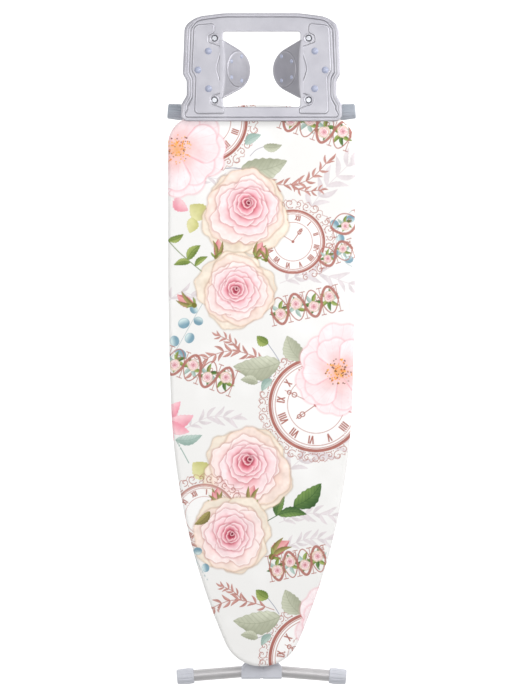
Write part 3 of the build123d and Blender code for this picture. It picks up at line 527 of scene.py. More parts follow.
MOTIFS = [  # each motif of the print with its place and shape; later ones lie over earlier ones
    # pale sprigs all over
    *((sprig, points, leaflet, GHOST_LEAF, pairs, 2) for points, leaflet, pairs in (
        ([(-162, 178), (-118, 160), (-72, 168)], 26, 5), ([(100, 232), (140, 180), (192, 128)], 46, 5),
        ([(40, 388), (110, 366), (200, 392)], 34, 8), ([(-202, 426), (-176, 408), (-150, 414)], 28, 3),
        ([(-166, 704), (-112, 678), (-60, 682)], 30, 6), ([(52, 800), (100, 760), (156, 742)], 44, 5),
        ([(38, 908), (92, 888), (152, 892)], 30, 7), ([(50, 962), (96, 944), (142, 944)], 28, 6),
    )),
    # towards the wide end
    (dial, -122, 36, 92, 20, [(300, 390), (40, 92)], (80, 200)),
    (leaf, -36, 86, 40, 20, 330, TEAL_LEAF, 4),
    (leaf, 4, 92, 40, 19, 355, GREY_LEAF, 5),
    (stalk, [(4, 92), (-12, 99), (-25, 112)], 1.0, GREY_STEM),
    (trellis, (48, 22), (192, 72), 62, 4, 70),
    (sprig, [(-22, 160), (22, 172), (66, 174), (108, 160), (146, 122)], 22, RUST_LEAF, 10, 3),
    (sprig, [(62, 172), (92, 188), (128, 186)], 17, RUST_LEAF, 5, 6),
    (leaf, -44, 140, 101, 50, 350, GREY_LEAF, 7),
    (stalk, [(-44, 140), (-62, 138), (-78, 139)], 1.4, SLATE_STEM),
    (pale_flower, -184, 98, 112, 12, 2),
    (leaf, -190, 205, 40, 26, 40, PINK_PETAL, 3, False),
    (sprig, [(8, 196), (24, 206), (36, 214)], 13, GREEN_LEAF, 2, 2),
    # first cluster
    (dial, 68, 298, 70, 12, [(215, 430)], (212, 305)),
    (berries, [(196, 230), (170, 262), (162, 300), (180, 340), (196, 352)], (8, 9, 8, 9, 8)),
    (trellis, (22, 452), (166, 420), 58, 4, 80),
    (trellis, (152, 268), (208, 250), 44, 1, 74),
    (trellis, (124, 336), (196, 312), 42, 2, 76),
    (leaf, -128, 250, 42, 40, 230, LIME_LEAF, 3, False),
    (leaf, -150, 246, 34, 26, 100, LIME_LEAF, 8, False),
    (branch, [(-206, 292), (-180, 320), (-150, 346), (-128, 364)],
     [(0.05, 36, 15, -70), (0.55, 42, 20, -88), (0.62, 36, 15, 130), (0.75, 34, 13, -75)], GREEN_LEAF, 11),
    (berries, [(-206, 566), (-178, 520), (-150, 470), (-128, 432)], (10, 11, 10, 10, 11, 9, 8)),
    (rose, -34, 234, 94, 196, 0.26, 5),
    (bud, -98, 332, 40, 275, 1),
    (bud, -12, 334, 38, 292, 2),
    (bud, 10, 338, 32, 250, 3),
    (rose, -55, 402, 82, 65, 0.0, 9),
    (bud, -146, 436, 44, 212, 4),
    # between the clusters
    (dial, 118, 652, 103, 8, [(58, 300)], (205, 145)),
    (sprig, [(26, 566), (-20, 545), (-66, 535), (-112, 548), (-150, 580)], 24, RUST_LEAF, 10, 4),
    (sprig, [(-44, 538), (-64, 516), (-92, 502)], 18, RUST_LEAF, 5, 8),
    (leaf, 40, 560, 102, 52, 175, GREY_LEAF, 10),
    (leaf, 86, 556, 62, 42, 240, GREY_LEAF, 6),
    (leaf, 14, 520, 30, 22, 215, GREEN_LEAF, 12),
    (stalk, [(14, 520), (28, 540), (38, 556)], 1.1, BLUE_STEM),
    (leaf, -8, 604, 38, 20, 190, GREY_LEAF, 13),
    (stalk, [(-8, 604), (8, 598), (22, 590)], 1.0, GREY_STEM),
    (leaf, 22, 596, 34, 18, 130, TEAL_LEAF, 3),
    (trellis, (-204, 552), (-62, 606), 58, 4, 90),
    *((leaf, -202, 690, size, size / 2, turn, PINK_PETAL, turn, False)
      for turn, size in ((300, 52), (345, 56), (25, 50), (75, 42))),
    (leaf, -186, 728, 58, 22, 350, TEAL_LEAF, 9),
    (stalk, [(-186, 728), (-172, 752), (-158, 778)], 1.8, TEAL_LEAF[0]),
    (pale_flower, 168, 580, 100, 40, 5),
    # second cluster
    (branch, [(6, 908), (32, 893), (56, 880), (72, 872)],
     [(0.35, 46, 22, -38), (0.98, 78, 40, -14), (0.4, 62, 22, 28)], DARK_LEAF, 14),
    (leaf, -122, 812, 44, 42, 232, LIME_LEAF, 3, False),
    (rose, -30, 794, 94, 186, 0.26, 15),
    (dial, -124, 893, 70, 335, [(200, 330)], (20, 300), 0.75),
    (bud, -22, 868, 42, 278, 6),
    (bud, -106, 872, 42, 285, 7),
    (bud, -94, 874, 36, 248, 9),
    (rose, -67, 934, 84, 110, 0.0, 19),
    (bud, 22, 982, 52, 318, 8),
    (leaf, -112, 884, 44, 18, 140, BROWN_LEAF, 4),
    (trellis, (18, 1008), (138, 984), 56, 4, 100),
    (berries, [(-150, 968), (-136, 1000), (-118, 1032)], (8, 9, 8)),
    # nose
    (dial, 118, 1204, 103, 8, [(150, 238)], (205, 145)),
    (sprig, [(30, 1098), (-18, 1082), (-62, 1076), (-104, 1092), (-122, 1118)], 22, RUST_LEAF, 9, 4),
    (sprig, [(-40, 1078), (-60, 1058), (-84, 1046)], 17, RUST_LEAF, 5, 8),
    (leaf, 40, 1112, 102, 50, 175, GREY_LEAF, 10),
    (leaf, 84, 1106, 62, 42, 238, GREY_LEAF, 6),
    (leaf, 14, 1072, 32, 24, 215, GREEN_LEAF, 12),
    (stalk, [(14, 1072), (28, 1090), (38, 1106)], 1.1, BLUE_STEM),
    (leaf, -8, 1158, 38, 20, 190, GREY_LEAF, 13),
    (stalk, [(-8, 1158), (8, 1152), (22, 1146)], 1.0, GREY_STEM),
    (leaf, 20, 1150, 32, 16, 130, TEAL_LEAF, 3),
    (leaf, -86, 1160, 26, 12, 150, GREEN_LEAF, 3),
    (pale_flower, 168, 1126, 100, 40, 5),
]


def paint_cover(x, y):
    """The whole print: two clusters of roses, dials, pale flowers and scattered leaves."""
    cloth = Print(x, y)
    for motif, *numbers in MOTIFS:
        motif(cloth, *numbers)
    return cloth.colour


# ---- cover and pad
EDGE = 7.0  # radius of the padded edge
HEM_TOP = 58.5  # the cover turns in under the frame below this height
PAD_INSET = 1.2
EDGE_INSETS = (0.0, 0.3, 0.9, 1.8, 2.9, 4.2, 5.6, 7.2, 9.2, 11.6, 14.5)
SIDE_PROFILE = (  # inset and height of the cover's side wall and of its hem, turned in under the frame
    (0.0, 70.5), (0.0, 67.5), (0.15, 64.5), (0.5, 61.5), (1.4, 58.8), (3.2, 56.6), (6.0, 55.4), (9.5, 54.9),
    (13.0, 54.7), (16.5, 54.6), (20.0, 54.8), (23.5, 55.3), (25.6, 56.2), (26.0, 57.4),
)


def board_top(samples, insets, columns, height, below=()):
    """Points and faces of a skin over the board: rings near its edge, rows across the rest."""
    loop = 2 * len(samples) - 2
    profile = list(below)[::-1] + [(inset, height(inset)) for inset in insets]
    rings = [np.column_stack([ring(samples, inset), np.full(loop, z)]) for inset, z in profile]
    index = np.arange(len(rings) * loop).reshape(len(rings), loop)
    last = index[-1]
    count = len(samples)
    right, left = last[:count], np.concatenate([last[:1], last[:count - 1:-1], last[count - 1:count]])
    inner_right = outline(samples, insets[-1])
    across = np.linspace(-1, 1, columns + 1)[1:-1]
    rows = inner_right[1:-1]
    x = rows[:, :1] * across
    y = np.repeat(rows[:, 1:], columns - 1, axis=1)
    z = height(inset_of(x, y))
    points = np.vstack(rings + [np.column_stack([x.ravel(), y.ravel(), z.ravel()])])
    inner = len(rings) * loop + np.arange(x.size).reshape(x.shape)
    grid = np.hstack([left[1:-1, None], inner, right[1:-1, None]])
    tips = [
        np.stack([grid[0, :-1], grid[0, 1:], np.full(columns, right[0])], axis=-1)[:, ::-1],
        np.stack([grid[-1, :-1], grid[-1, 1:], np.full(columns, right[-1])], axis=-1),
    ]
    return points, [quads(index, around=True), quads(grid)] + tips


def rounding(distance, radius):
    """How far a rounded edge has dropped, at a distance in from it."""
    left = radius - np.clip(distance, 0, radius)
    return radius - np.sqrt(np.maximum(radius**2 - left**2, 0))


def crowned(inset):
    """Height of the covered top: a rounded edge, and a slight fall towards it."""
    inset = np.maximum(inset, 0)
    return COVER_TOP - rounding(inset, EDGE) - 0.7 * np.exp(-inset / 9.0)


def make_cover(material):
    """Stretched cotton cover: printed top, side wall, and a hem puckered by its drawstring."""
    spacing = 1.15
    samples = outline_samples(spacing)
    columns = round(2 * HALF_WIDTH / spacing)
    points, faces = board_top(samples, EDGE_INSETS, columns, crowned, SIDE_PROFILE)
    x, y, z = points.T
    inset = inset_of(x, y)
    around = noise(x, y, 21, 5) + 0.6 * noise(x, y, 9, 6) - 0.8
    under = clamp((HEM_TOP - z) / 3) * clamp((inset - 3) / 18)
    along = np.arctan2(x, y / 3)
    pucker = np.sin(along * 88 + 5 * noise(x, y, 40, 8)) * (0.6 + noise(x, y, 30, 9))
    on_top = z > COVER_TOP - 3
    z = z + under * 1.3 * pucker + np.where(on_top, 0.55 * (noise(x, y, 120, 3) - 0.5), 0)
    z = z + np.where(on_top, np.exp(-np.maximum(inset, 0) / 16) * 0.35 * around, 0)
    wall = (z < COVER_TOP - EDGE - 1) & (z > HEM_TOP - 0.5)
    fall = np.clip(COVER_TOP - EDGE - z, 0, 40) + np.where(z < HEM_TOP, inset, 0)
    swell = 0.35 * np.where(wall, np.sin((z - 56) / 16 * pi) * around, 0)
    length = np.maximum(np.hypot(x, y / 3), 1)
    x, y = x - swell * x / length, y - swell * y / 3 / length
    piece = mesh_object("printed_cover", np.column_stack([x, y, z]), faces, material)
    unrolled_x = x * (1 + fall / np.maximum(np.abs(x) * 3, HALF_WIDTH))
    printed = paint_cover(unrolled_x, TAIL_Y - y - fall * np.sign(y) * (np.abs(x) < 60))
    linear = np.ones((len(x), 4))
    srgb = clamp(printed / 255)
    linear[:, :3] = np.where(srgb <= 0.04045, srgb / 12.92, ((srgb + 0.055) / 1.055) ** 2.4)
    colours = piece.data.color_attributes.new("print", "FLOAT_COLOR", "POINT")
    colours.data.foreach_set("color", linear.ravel())
    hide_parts("cover")
    return piece


def make_pad(material):
    """Felt underlay, with softly rounded edges, between the panel and the cover."""
    low, high = corners("underlay_pad")
    samples = outline_samples(9.0)
    middle, thick = (low[2] + high[2]) / 2, (high[2] - low[2]) / 2

    def bulge(inset):
        return middle + thick * np.sqrt(clamp((inset - PAD_INSET) / 3) * 0.96 + 0.04) - 0.9

    insets = (1.3, 1.8, 2.6, 3.6, 4.4, 9)
    points, faces = board_top(samples, insets, 40, bulge)
    under = points.copy()
    under[:, 2] = low[2] + 0.02
    both = np.vstack([points, under])
    loop = 2 * len(samples) - 2
    sides = quads(np.vstack([np.arange(loop) + len(points), np.arange(loop)]), around=True)
    flipped = [(f + len(points))[:, ::-1] for f in faces]
    piece = mesh_object("felt_underlay", both, faces + flipped + [sides], material)
    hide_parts("underlay_pad")
    return piece


# ---- iron rest
REST_TOP, REST_SHEET, REST_FLANGE, EMBOSS = 92.0, 1.2, 8.5, 0.8
RIM_BAND, LIP_BAND = 13.2, 2.9  # widths with closer rows, at the outer rim and at the window
WINDOW_HALF_X, WINDOW_LOW, WINDOW_HIGH, WINDOW_CORNER = 84.0, -6.0, 157.3, 6.0
WINDOW_MIDDLE = (WINDOW_LOW + WINDOW_HIGH) / 2
WING_SLOPE, WING_TIP_X, WING_BEND, WING_MIDDLE, WING_HALF = radians(45), 25.5, 10.0, 76.0, 63.0
SCREWS = [(side * 102.0, past) for side in (-1, 1) for past in (143.0, 9.0)]
REST_OUTLINE = [  # half of the plate's outline, from its inner edge's middle: X, past the wide end
    (0, -36.9), (174.3, -36.9), (174.3, -1), (162.5, 19), (162.5, 51), (171, 65),
    (167, 171), (140, 190), (82, 197.5), (0, 197.5),
]
REST_RADII = [14, 18, 14, 14, 16, 26, 60, 160]
SIDE_PAD = [
    (146, 171), (103, 175), (102, 156), (116, 149), (116, 134), (85, 124), (99, 77), (82, 26),
    (104, 19), (113, 9), (108, -1), (82, -9), (82, -20.5), (145, -20.5), (142, 58), (151, 74),
]
SIDE_PAD_RADII = [12, 6, 7, 6, 6, 9, 30, 9, 6, 5, 6, 4, 4, 9, 12, 12]


def rounded(corner_points, radii, spacing, closed):
    """Points along straight runs joined by arcs of the given radii, one for each inner corner."""
    nodes = np.array(corner_points, float)
    count = len(nodes)
    turns = range(count) if closed else range(1, count - 1)
    line = [] if closed else [nodes[0]]
    for radius, k in zip(radii, turns):
        here, to_last, to_next = nodes[k], nodes[k - 1] - nodes[k], nodes[(k + 1) % count] - nodes[k]
        to_last, to_next = to_last / np.hypot(*to_last), to_next / np.hypot(*to_next)
        half = acos(np.clip(to_last @ to_next, -1, 1)) / 2
        middle = here + (to_last + to_next) / np.hypot(*(to_last + to_next)) * radius / sin(half)
        start = here + to_last * radius / np.tan(half) - middle
        turn = (pi - 2 * half) * (1 if to_last[0] * to_next[1] - to_last[1] * to_next[0] < 0 else -1)
        for angle in np.linspace(0, turn, max(3, round(abs(turn) * radius / spacing))):
            c, s = cos(angle), sin(angle)
            line.append(middle + (start[0] * c - start[1] * s, start[0] * s + start[1] * c))
    line += line[:1] if closed else [nodes[-1]]
    line, made = np.array(line), []
    for a, b in zip(line, line[1:]):
        steps = max(1, round(np.hypot(*(b - a)) / spacing))
        made += [a + (b - a) * k / steps for k in range(steps)]
    return np.array(made + [line[-1]])


def distance_to(line, x, y):
    """Distance of points from a line of points."""
    a, b = line[:-1], line[1:]
    run = b - a
    square = np.maximum((run**2).sum(1), 1e-12)
    made = np.empty(len(x))
    for first in range(0, len(x), 4000):
        part = slice(first, first + 4000)
        u, v = x[part, None] - a[:, 0], y[part, None] - a[:, 1]
        t = clamp((u * run[:, 0] + v * run[:, 1]) / square)
        made[part] = np.hypot(u - t * run[:, 0], v - t * run[:, 1]).min(1)
    return made


def within(line, x, y):
    """Whether points lie within a closed line."""
    made = np.zeros(len(x), bool)
    for (ax, ay), (bx, by) in zip(line, line[1:]):
        if ay != by:
            made ^= ((ay > y) != (by > y)) & (x < ax + (y - ay) * (bx - ax) / (by - ay))
    return made


def step(distance, width):
    """0 to 1 as a distance passes 0, over a width."""
    t = clamp(distance / width + 0.5)
    return t * t * (3 - 2 * t)


def ridge(distance, width):
    """A smooth ridge, 1 high at no distance."""
    return np.exp(-((distance / width) ** 2))


def window_distance(x, y):
    """Distance outside the window's rounded rectangle."""
    u = np.abs(x) - WINDOW_HALF_X + WINDOW_CORNER
    v = np.abs(y - WINDOW_MIDDLE) - (WINDOW_HIGH - WINDOW_LOW) / 2 + WINDOW_CORNER
    return np.hypot(np.maximum(u, 0), np.maximum(v, 0)) + np.minimum(np.maximum(u, v), 0) - WINDOW_CORNER


def pressed_height(x, y, edge, pads):
    """Relief of the plate: a rolled rim, a groove inside it, side panels, screw cups and a window lip."""
    at_side = step(np.abs(x) - 146, 16) * step(y + 16, 12) * step(182 - y, 22)
    d = edge / (1 + 0.6 * at_side)
    z = 0.75 * step(7.6 - d, 1.8) - rounding(d, 3.0) - 0.95 * ridge(d - 8.7, 0.8)
    z = z + 0.3 * ridge(d - 3.9, 0.6) * (0.35 + 0.65 * at_side) - 0.5 * ridge(d - 5.2, 0.55) * at_side
    pad = distance_to(pads, np.abs(x), y) * np.where(within(pads, np.abs(x), y), 1, -1)
    z = z + EMBOSS * step(pad - 0.4, 1.9) + 0.22 * ridge(pad - 1.5, 0.8) - 0.3 * ridge(pad + 1.0, 0.7)
    for sx, sy in SCREWS:
        rho = np.hypot(x - sx, y - sy)
        z = z * step(rho - 10.6, 2.0) + 0.55 * ridge(rho - 9.2, 1.0) - 3.0 * step(6.6 - rho, 3.0)
    lip = window_distance(x, y)
    wing = step(WING_HALF - np.abs(y - WING_MIDDLE), 5) * step(np.abs(x) - WINDOW_HALF_X + 4, 3)
    return z - rounding(lip, 2.2) * (1 - wing)


def store_painted_relief_light(piece, relief, rows):
    """Stores a painted shade where the pressing lies low and a painted highlight where it stands proud."""
    blurred = relief.reshape(rows, -1)
    for _ in range(3):
        padded = np.pad(blurred, ((1, 1), (0, 0)), mode="edge")
        blurred = (padded[:-2] + 2 * padded[1:-1] + padded[2:]) / 4
        blurred = (np.roll(blurred, 1, 1) + 2 * blurred + np.roll(blurred, -1, 1)) / 4
    # Below 0.5 is painted shade in the hollows; above 0.5 is painted highlight on the ridges.
    painted_relief_light = clamp(0.5 + 1.6 * (relief - blurred.ravel()))
    layer = piece.data.attributes.new("painted_relief_light", "FLOAT", "POINT")
    layer.data.foreach_set("value", painted_relief_light)


def thickened(piece):
    """The piece, made as thick as the sheet it is pressed from."""
    modifier = piece.modifiers.new("Solidify", "SOLIDIFY")
    modifier.thickness, modifier.offset = REST_SHEET * MM, -1
    return piece


def rest_plate(material):
    """The pressed plate: a strip of rings between the window and the turned-down outer rim."""
    spacing = 0.9
    half = rounded(REST_OUTLINE, REST_RADII, spacing, False)
    outer = np.vstack([half, (half * (-1, 1))[-2:0:-1]])
    closed = np.vstack([outer, outer[:1]])
    pads = rounded(SIDE_PAD, SIDE_PAD_RADII, 2.0, True)
    middle = np.array([0, WINDOW_MIDDLE])
    ray = outer - middle
    low, high = np.zeros(len(outer)), np.ones(len(outer))
    for _ in range(30):
        guess = (low + high) / 2
        outside = window_distance(*(middle + ray * guess[:, None]).T) > 0
        low, high = np.where(outside, low, guess), np.where(outside, guess, high)
    inner = middle + ray * high[:, None]
    span = np.hypot(*(outer - inner).T)
    between = np.linspace(0, 1, round(72 / spacing) + 2)[1:-1]
    rows = [reach / span for reach in np.arange(0, RIM_BAND, spacing * 0.7)]
    rows += [RIM_BAND / span + f * (1 - RIM_BAND / span - LIP_BAND / span) for f in between]
    rows += [1 - reach / span for reach in (2.6, 1.9, 1.3, 0.8, 0.4, 0.0)]
    share = np.array(rows)[..., None]
    points = outer * (1 - share) + inner * share
    flat = points.reshape(-1, 2)
    relief = pressed_height(*flat.T, distance_to(closed, *flat.T), pads)
    top = np.column_stack([flat, REST_TOP + relief])
    drops = np.linspace(REST_FLANGE, 3.2, 6)
    skirt = [np.column_stack([outer, np.full(len(outer), REST_TOP - drop)]) for drop in drops]
    points = np.vstack(skirt + [top])
    points[:, 1] += TAIL_Y
    index = np.arange(len(points)).reshape(-1, len(outer))
    piece = mesh_object("pressed_rest", points, [quads(index, around=True)], material)
    # Painted shade in the plate's hollows and painted highlight on its ridges, from its relief.
    store_painted_relief_light(piece, points[:, 2], len(index))
    return thickened(piece)


def wing_piece(side, material):
    """One wing: bent down from the window's edge, with a beaded edge and a raised oval."""
    spacing = 0.8
    plan_corners = [(92, 63), (84, 63), (WING_TIP_X, 30)]
    plan_corners += [(x, -y) for x, y in reversed(plan_corners)]
    edge = rounded(plan_corners, [6, 6, 50, 50, 6, 6], 0.4, True)
    curved = edge[(edge[:, 0] < 90) & (np.abs(edge[:, 1]) < WING_HALF - 0.01)]
    curved = curved[np.argsort(curved[:, 1])]
    y = np.linspace(-WING_HALF + 0.4, WING_HALF - 0.4, round(126 / spacing))
    far = np.interp(y, curved[:, 1], curved[:, 0])
    root = WINDOW_HALF_X + 6.5
    share = np.linspace(0, 1, round(82 / spacing))
    share = share + 0.035 * np.sin(share * pi) * share
    x = root - (root - far)[:, None] * share
    y = np.repeat(y[:, None], len(share), axis=1)
    bend_x = WINDOW_HALF_X + 2
    bend = 1 + WING_BEND * (1 - np.abs(y / WING_HALF) ** 2.6)
    turned = bend * sin(WING_SLOPE)
    into = np.clip(bend_x - x, 0, turned)
    z = REST_TOP - (bend - np.sqrt(bend**2 - into**2)) - np.maximum(bend_x - turned - x, 0)
    z = z - 0.12 * step(x - WINDOW_HALF_X + 1, 2)
    oval = 1 - np.hypot((x - 51.0) / 24.5, (y - 1.5) / 38.5)
    edge_distance = distance_to(curved, x.ravel(), y.ravel()).reshape(x.shape)
    raised = EMBOSS * step(oval * 28 - 0.6, 1.8) - 0.35 * ridge(oval * 28 + 0.8, 0.7)
    raised = raised * step(edge_distance - 2.6, 2.0)
    bead = 0.5 * step(2.0 - edge_distance, 1.4) - 0.9 * step(0.5 - edge_distance, 1.0)
    raised = raised + bead * (x < 82)
    x, z = x - raised * sin(WING_SLOPE) * (x < bend_x), z + raised * cos(WING_SLOPE)
    points = np.column_stack([side * x.ravel(), y.ravel() + TAIL_Y + WING_MIDDLE, z.ravel()])
    index = np.arange(x.size).reshape(x.shape)
    name = "rest_wing_" + ("right" if side > 0 else "left")
    piece = mesh_object(name, points, [quads(index, flip=side < 0)], material)
    # Painted shade in the wing's hollows and painted highlight on its ridges, from its relief.
    store_painted_relief_light(piece, raised.ravel(), len(index))
    return thickened(piece)


def make_rest(material):
    plate = rest_plate(material)
    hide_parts("iron_rest")
    for side in (-1, 1):
        wing_piece(side, material)


# ---- materials
def linear(red, green, blue):
    """A colour's linear value from its usual 0 to 255 one."""
    return tuple((c / 255) ** 2.2 for c in (red, green, blue)) + (1.0,)


class Shader:
    """A material's node tree, with short ways to add and join nodes."""

    def __init__(self, name, roughness, metallic=0.0, **sockets):
        self.material = bpy.data.materials.new(name)
        self.material.use_nodes = True
        self.tree = self.material.node_tree
        self.surface = self.tree.nodes["Principled BSDF"]
        self.surface.inputs["Roughness"].default_value = roughness
        self.surface.inputs["Metallic"].default_value = metallic
        for label, value in sockets.items():
            self.surface.inputs[label.replace("_", " ")].default_value = value
        self.place = self.add("ShaderNodeTexCoord").outputs["Object"]
        self.height = None

    def add(self, kind, inputs=None, **settings):
        node = self.tree.nodes.new(kind)
        for name, value in settings.items():
            setattr(node, name, value)
        for label, value in (inputs or {}).items():
            self.feed(value, node.inputs[label])
        return node

    def feed(self, value, socket):
        if isinstance(value, bpy.types.NodeSocket):
            self.tree.links.new(value, socket)
        else:
            socket.default_value = value

    def stretched(self, x, y, z):
        """The object's own coordinates, scaled along each axis."""
        return self.add("ShaderNodeMapping", {"Vector": self.place, "Scale": (x, y, z)}).outputs["Vector"]

    def noise(self, scale, detail=3.0, vector=None):
        inputs = {"Vector": vector or self.place, "Scale": scale, "Detail": detail}
        return self.add("ShaderNodeTexNoise", inputs).outputs["Fac"]

    def weave(self, scale):
        """Threads crossing at right angles."""
        thread = {"Vector": self.place, "Scale": scale, "Distortion": 0.6, "Detail": 1.0}
        waves = [
            self.add("ShaderNodeTexWave", thread, bands_direction=direction).outputs["Fac"]
            for direction in ("X", "Y")
        ]
        return self.math("MAXIMUM", *waves)

    def math(self, operation, a, b):
        return self.add("ShaderNodeMath", {0: a, 1: b}, operation=operation).outputs[0]

    def span(self, value, low, high):
        """A 0 to 1 value moved to another range."""
        inputs = {"Value": value, "To Min": low, "To Max": high}
        return self.add("ShaderNodeMapRange", inputs).outputs["Result"]

    def mix(self, amount, a, b, blend="MIX"):
        node = self.add("ShaderNodeMix", data_type="RGBA", blend_type=blend)
        self.feed(amount, node.inputs["Factor"])
        self.feed(a, node.inputs[6])
        self.feed(b, node.inputs[7])
        return node.outputs[2]

    def shade(self, colour, low, high, amount):
        """A colour made darker and lighter by a 0 to 1 value."""
        return self.mix(1.0, colour, self.span(amount, low, high), "MULTIPLY")

    def colour(self, value):
        self.feed(value, self.surface.inputs["Base Color"])

    def rough(self, amount, low, high):
        self.feed(self.span(amount, low, high), self.surface.inputs["Roughness"])

    def bump(self, height, strength, distance):
        node = self.add("ShaderNodeBump", {"Height": height, "Strength": strength, "Distance": distance})
        if self.height:
            self.feed(self.height, node.inputs["Normal"])
        self.height = node.outputs["Normal"]
        self.feed(self.height, self.surface.inputs["Normal"])


def printed_cotton():
    s = Shader("printed_cotton", 0.82, Sheen_Weight=0.12, Sheen_Roughness=0.6, Specular_IOR_Level=0.25)
    printed = s.add("ShaderNodeVertexColor", layer_name="print").outputs["Color"]
    threads = s.weave(420.0)
    slubs = s.noise(900.0, 2.0, s.stretched(1, 0.12, 1))
    colour = s.shade(printed, 0.965, 1.0, threads)
    s.colour(s.shade(colour, 0.985, 1.015, slubs))
    s.bump(threads, 0.25, 0.0002)
    s.bump(s.noise(38.0, 3.0), 0.12, 0.0012)
    return s.material


def felt():
    s = Shader("needled_felt", 0.95, Sheen_Weight=0.3, Sheen_Roughness=0.7)
    fibres = s.noise(700.0, 6.0, s.stretched(1, 0.4, 1))
    flecks = s.noise(160.0, 2.0)
    s.colour(s.mix(fibres, linear(196, 190, 178), linear(232, 228, 220)))
    s.bump(fibres, 0.6, 0.0006)
    s.bump(flecks, 0.3, 0.001)
    return s.material


def pressed_steel():
    s = Shader("pressed_satin_steel", 0.48, 0.7)
    grain = s.noise(420.0, 4.0, s.stretched(1, 0.35, 1))
    cloud = s.noise(16.0, 3.0)
    tone = s.mix(s.span(cloud, -0.3, 1.3), linear(180, 179, 188), linear(208, 207, 214))
    # The stored relief attribute darkens the steel's colour in the hollows as painted shade and lightens it
    # on the ridges as painted highlight.
    painted_relief_light = s.add("ShaderNodeAttribute", attribute_name="painted_relief_light").outputs["Fac"]
    s.colour(s.shade(s.shade(tone, 0.93, 1.05, grain), 0.42, 1.12, painted_relief_light))
    s.rough(grain, 0.42, 0.54)
    s.bump(grain, 0.10, 0.0003)
    return s.material


def leg_steel():
    """Satin coat on a drawn tube, with faint lines along it and slight clouding."""
    s = Shader("leg_satin_grey", 0.46, 0.4)
    lines = s.noise(240.0, 3.0, s.stretched(1, 0.06, 1))
    cloud = s.noise(30.0, 3.0)
    s.colour(s.shade(s.mix(cloud, linear(186, 184, 185), linear(200, 198, 199)), 0.94, 1.04, lines))
    s.rough(cloud, 0.41, 0.52)
    s.bump(lines, 0.12, 0.0003)
    return s.material


def powder_coat():
    s = Shader("powder_coat_grey", 0.48, 0.1)
    peel = s.noise(520.0, 2.0)
    s.colour(s.shade(s.mix(s.noise(14.0), linear(150, 152, 158), linear(170, 172, 178)), 0.95, 1.03, peel))
    s.bump(peel, 0.25, 0.0003)
    return s.material


def bright_zinc():
    s = Shader("bright_zinc", 0.3, 0.9)
    flakes = s.add("ShaderNodeTexVoronoi", {"Vector": s.place, "Scale": 260.0}).outputs["Color"]
    zinc = linear(172, 174, 179)
    s.colour(s.mix(0.18, zinc, s.shade(zinc, 0.75, 1.15, flakes)))
    s.rough(s.noise(300.0), 0.24, 0.38)
    s.bump(s.noise(600.0), 0.12, 0.0002)
    return s.material


def moulded(name, low, high, roughness, scale=650.0):
    """Moulded plastic with a fine sparked texture and slight flow marks."""
    s = Shader(name, roughness, Specular_IOR_Level=0.5)
    spark = s.noise(scale, 2.0)
    flow = s.noise(22.0, 3.0, s.stretched(1, 0.5, 1))
    s.colour(s.shade(s.mix(flow, linear(*low), linear(*high)), 0.96, 1.03, spark))
    s.rough(flow, roughness - 0.06, roughness + 0.06)
    s.bump(spark, 0.18, 0.0003)
    return s.material


def silicone():
    s = Shader("stud_silicone", 0.28, Specular_IOR_Level=0.55, Coat_Weight=0.2)
    cloud = s.noise(180.0, 3.0)
    s.colour(s.mix(cloud, linear(162, 168, 192), linear(180, 186, 207)))
    s.rough(cloud, 0.22, 0.36)
    s.bump(s.noise(900.0), 0.05, 0.0002)
    return s.material


SLOT_MATERIALS = {
    "powder_grey": powder_coat(),
    "pressed_steel": pressed_steel(),
    "leg_steel": leg_steel(),
    "zinc": bright_zinc(),
    "stud_blue": silicone(),
    "plastic_light": moulded("light_grey_moulding", (196, 198, 206), (208, 210, 218), 0.42),
    "plastic_dark": moulded("slate_grey_moulding", (156, 163, 173), (172, 179, 189), 0.44),
    "nylon": moulded("natural_nylon", (214, 212, 202), (228, 226, 218), 0.5, 420.0),
}


def coat_nodes():
    """Gives every CAD node that stays the finish of its slot."""
    for part in frame["record"]["subparts"]:
        node = frame["nodes"][part["node"]]
        material = SLOT_MATERIALS.get(part["material_slot"])
        if material:
            node.data.materials.clear()
            node.data.materials.append(material)


# ---- floor, light and camera
LOOK_AT = Vector((0.002, -0.001, 0.0))
CAMERA_HEIGHT, FRAME_LENGTH = 14.0, 1.519  # metres; the frame is as long at the ironing surface
FLOOR_DROP = 0.869  # the feet reach this far down when the legs are opened
FLOOR_REACH = 40.0
SENSOR = 36.0  # millimetres


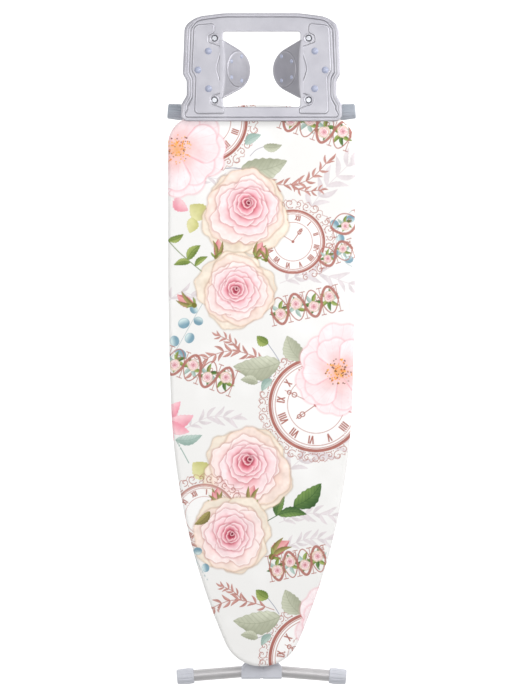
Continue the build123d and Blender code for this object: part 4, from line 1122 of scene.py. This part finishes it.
def make_floor():
    s = Shader("pale_floor", 0.9)
    grain = s.noise(3.0)
    s.colour(s.mix(grain, (0.62, 0.62, 0.62, 1), (0.65, 0.65, 0.65, 1)))
    s.surface.inputs["Emission Color"].default_value = (1, 1, 1, 1)
    s.surface.inputs["Emission Strength"].default_value = 0.70
    reach = FLOOR_REACH / MM
    square = [(-reach, -reach, 0), (reach, -reach, 0), (reach, reach, 0), (-reach, reach, 0)]
    floor = mesh_object("studio_floor", square, [np.array([[0, 1, 2, 3]])], s.material, None, False)
    floor.location.z = -FLOOR_DROP


def softbox(name, place, size, power, aim=(0, 0, 0)):
    """A rectangular light that faces a place on the board."""
    data = bpy.data.lights.new(name, "AREA")
    data.shape = "RECTANGLE"
    data.size, data.size_y = size
    data.energy = power
    lamp = bpy.data.objects.new(name, data)
    lamp.location = place
    lamp.rotation_euler = (Vector(aim) - Vector(place)).to_track_quat("-Z", "Y").to_euler()
    bpy.context.collection.objects.link(lamp)


def light_studio():
    softbox("overhead_right", (1.3, 0.4, 3.4), (1.3, 3.0), 49)
    softbox("overhead_left", (-1.3, 0.2, 3.4), (1.2, 3.0), 35)
    softbox("wide_end", (0.2, 2.7, 2.5), (2.2, 1.0), 10)
    softbox("rest_right", (1.6, 1.2, 0.8), (0.7, 0.7), 15, (0, 0.6, 0.08))
    world = bpy.data.worlds.new("studio")
    world.use_nodes = True
    sky = world.node_tree.nodes["Background"].inputs
    sky["Color"].default_value = (1, 1, 1, 1)
    sky["Strength"].default_value = 0.40
    bpy.context.scene.world = world
    bpy.context.scene.view_settings.view_transform = "Standard"


def place_camera():
    data = bpy.data.cameras.new("camera")
    data.sensor_fit = "VERTICAL"
    data.sensor_height = SENSOR
    data.lens = SENSOR * (CAMERA_HEIGHT - COVER_TOP * MM) / FRAME_LENGTH
    camera = bpy.data.objects.new("camera", data)
    camera.location = LOOK_AT + Vector((0, 0, CAMERA_HEIGHT))
    camera.rotation_euler = (0, 0, 0)
    bpy.context.collection.objects.link(camera)
    bpy.context.scene.camera = camera


# ---- the whole scene
cover = make_cover(printed_cotton())
pad = make_pad(felt())
make_rest(SLOT_MATERIALS["pressed_steel"])
coat_nodes()
make_floor()
light_studio()
place_camera()
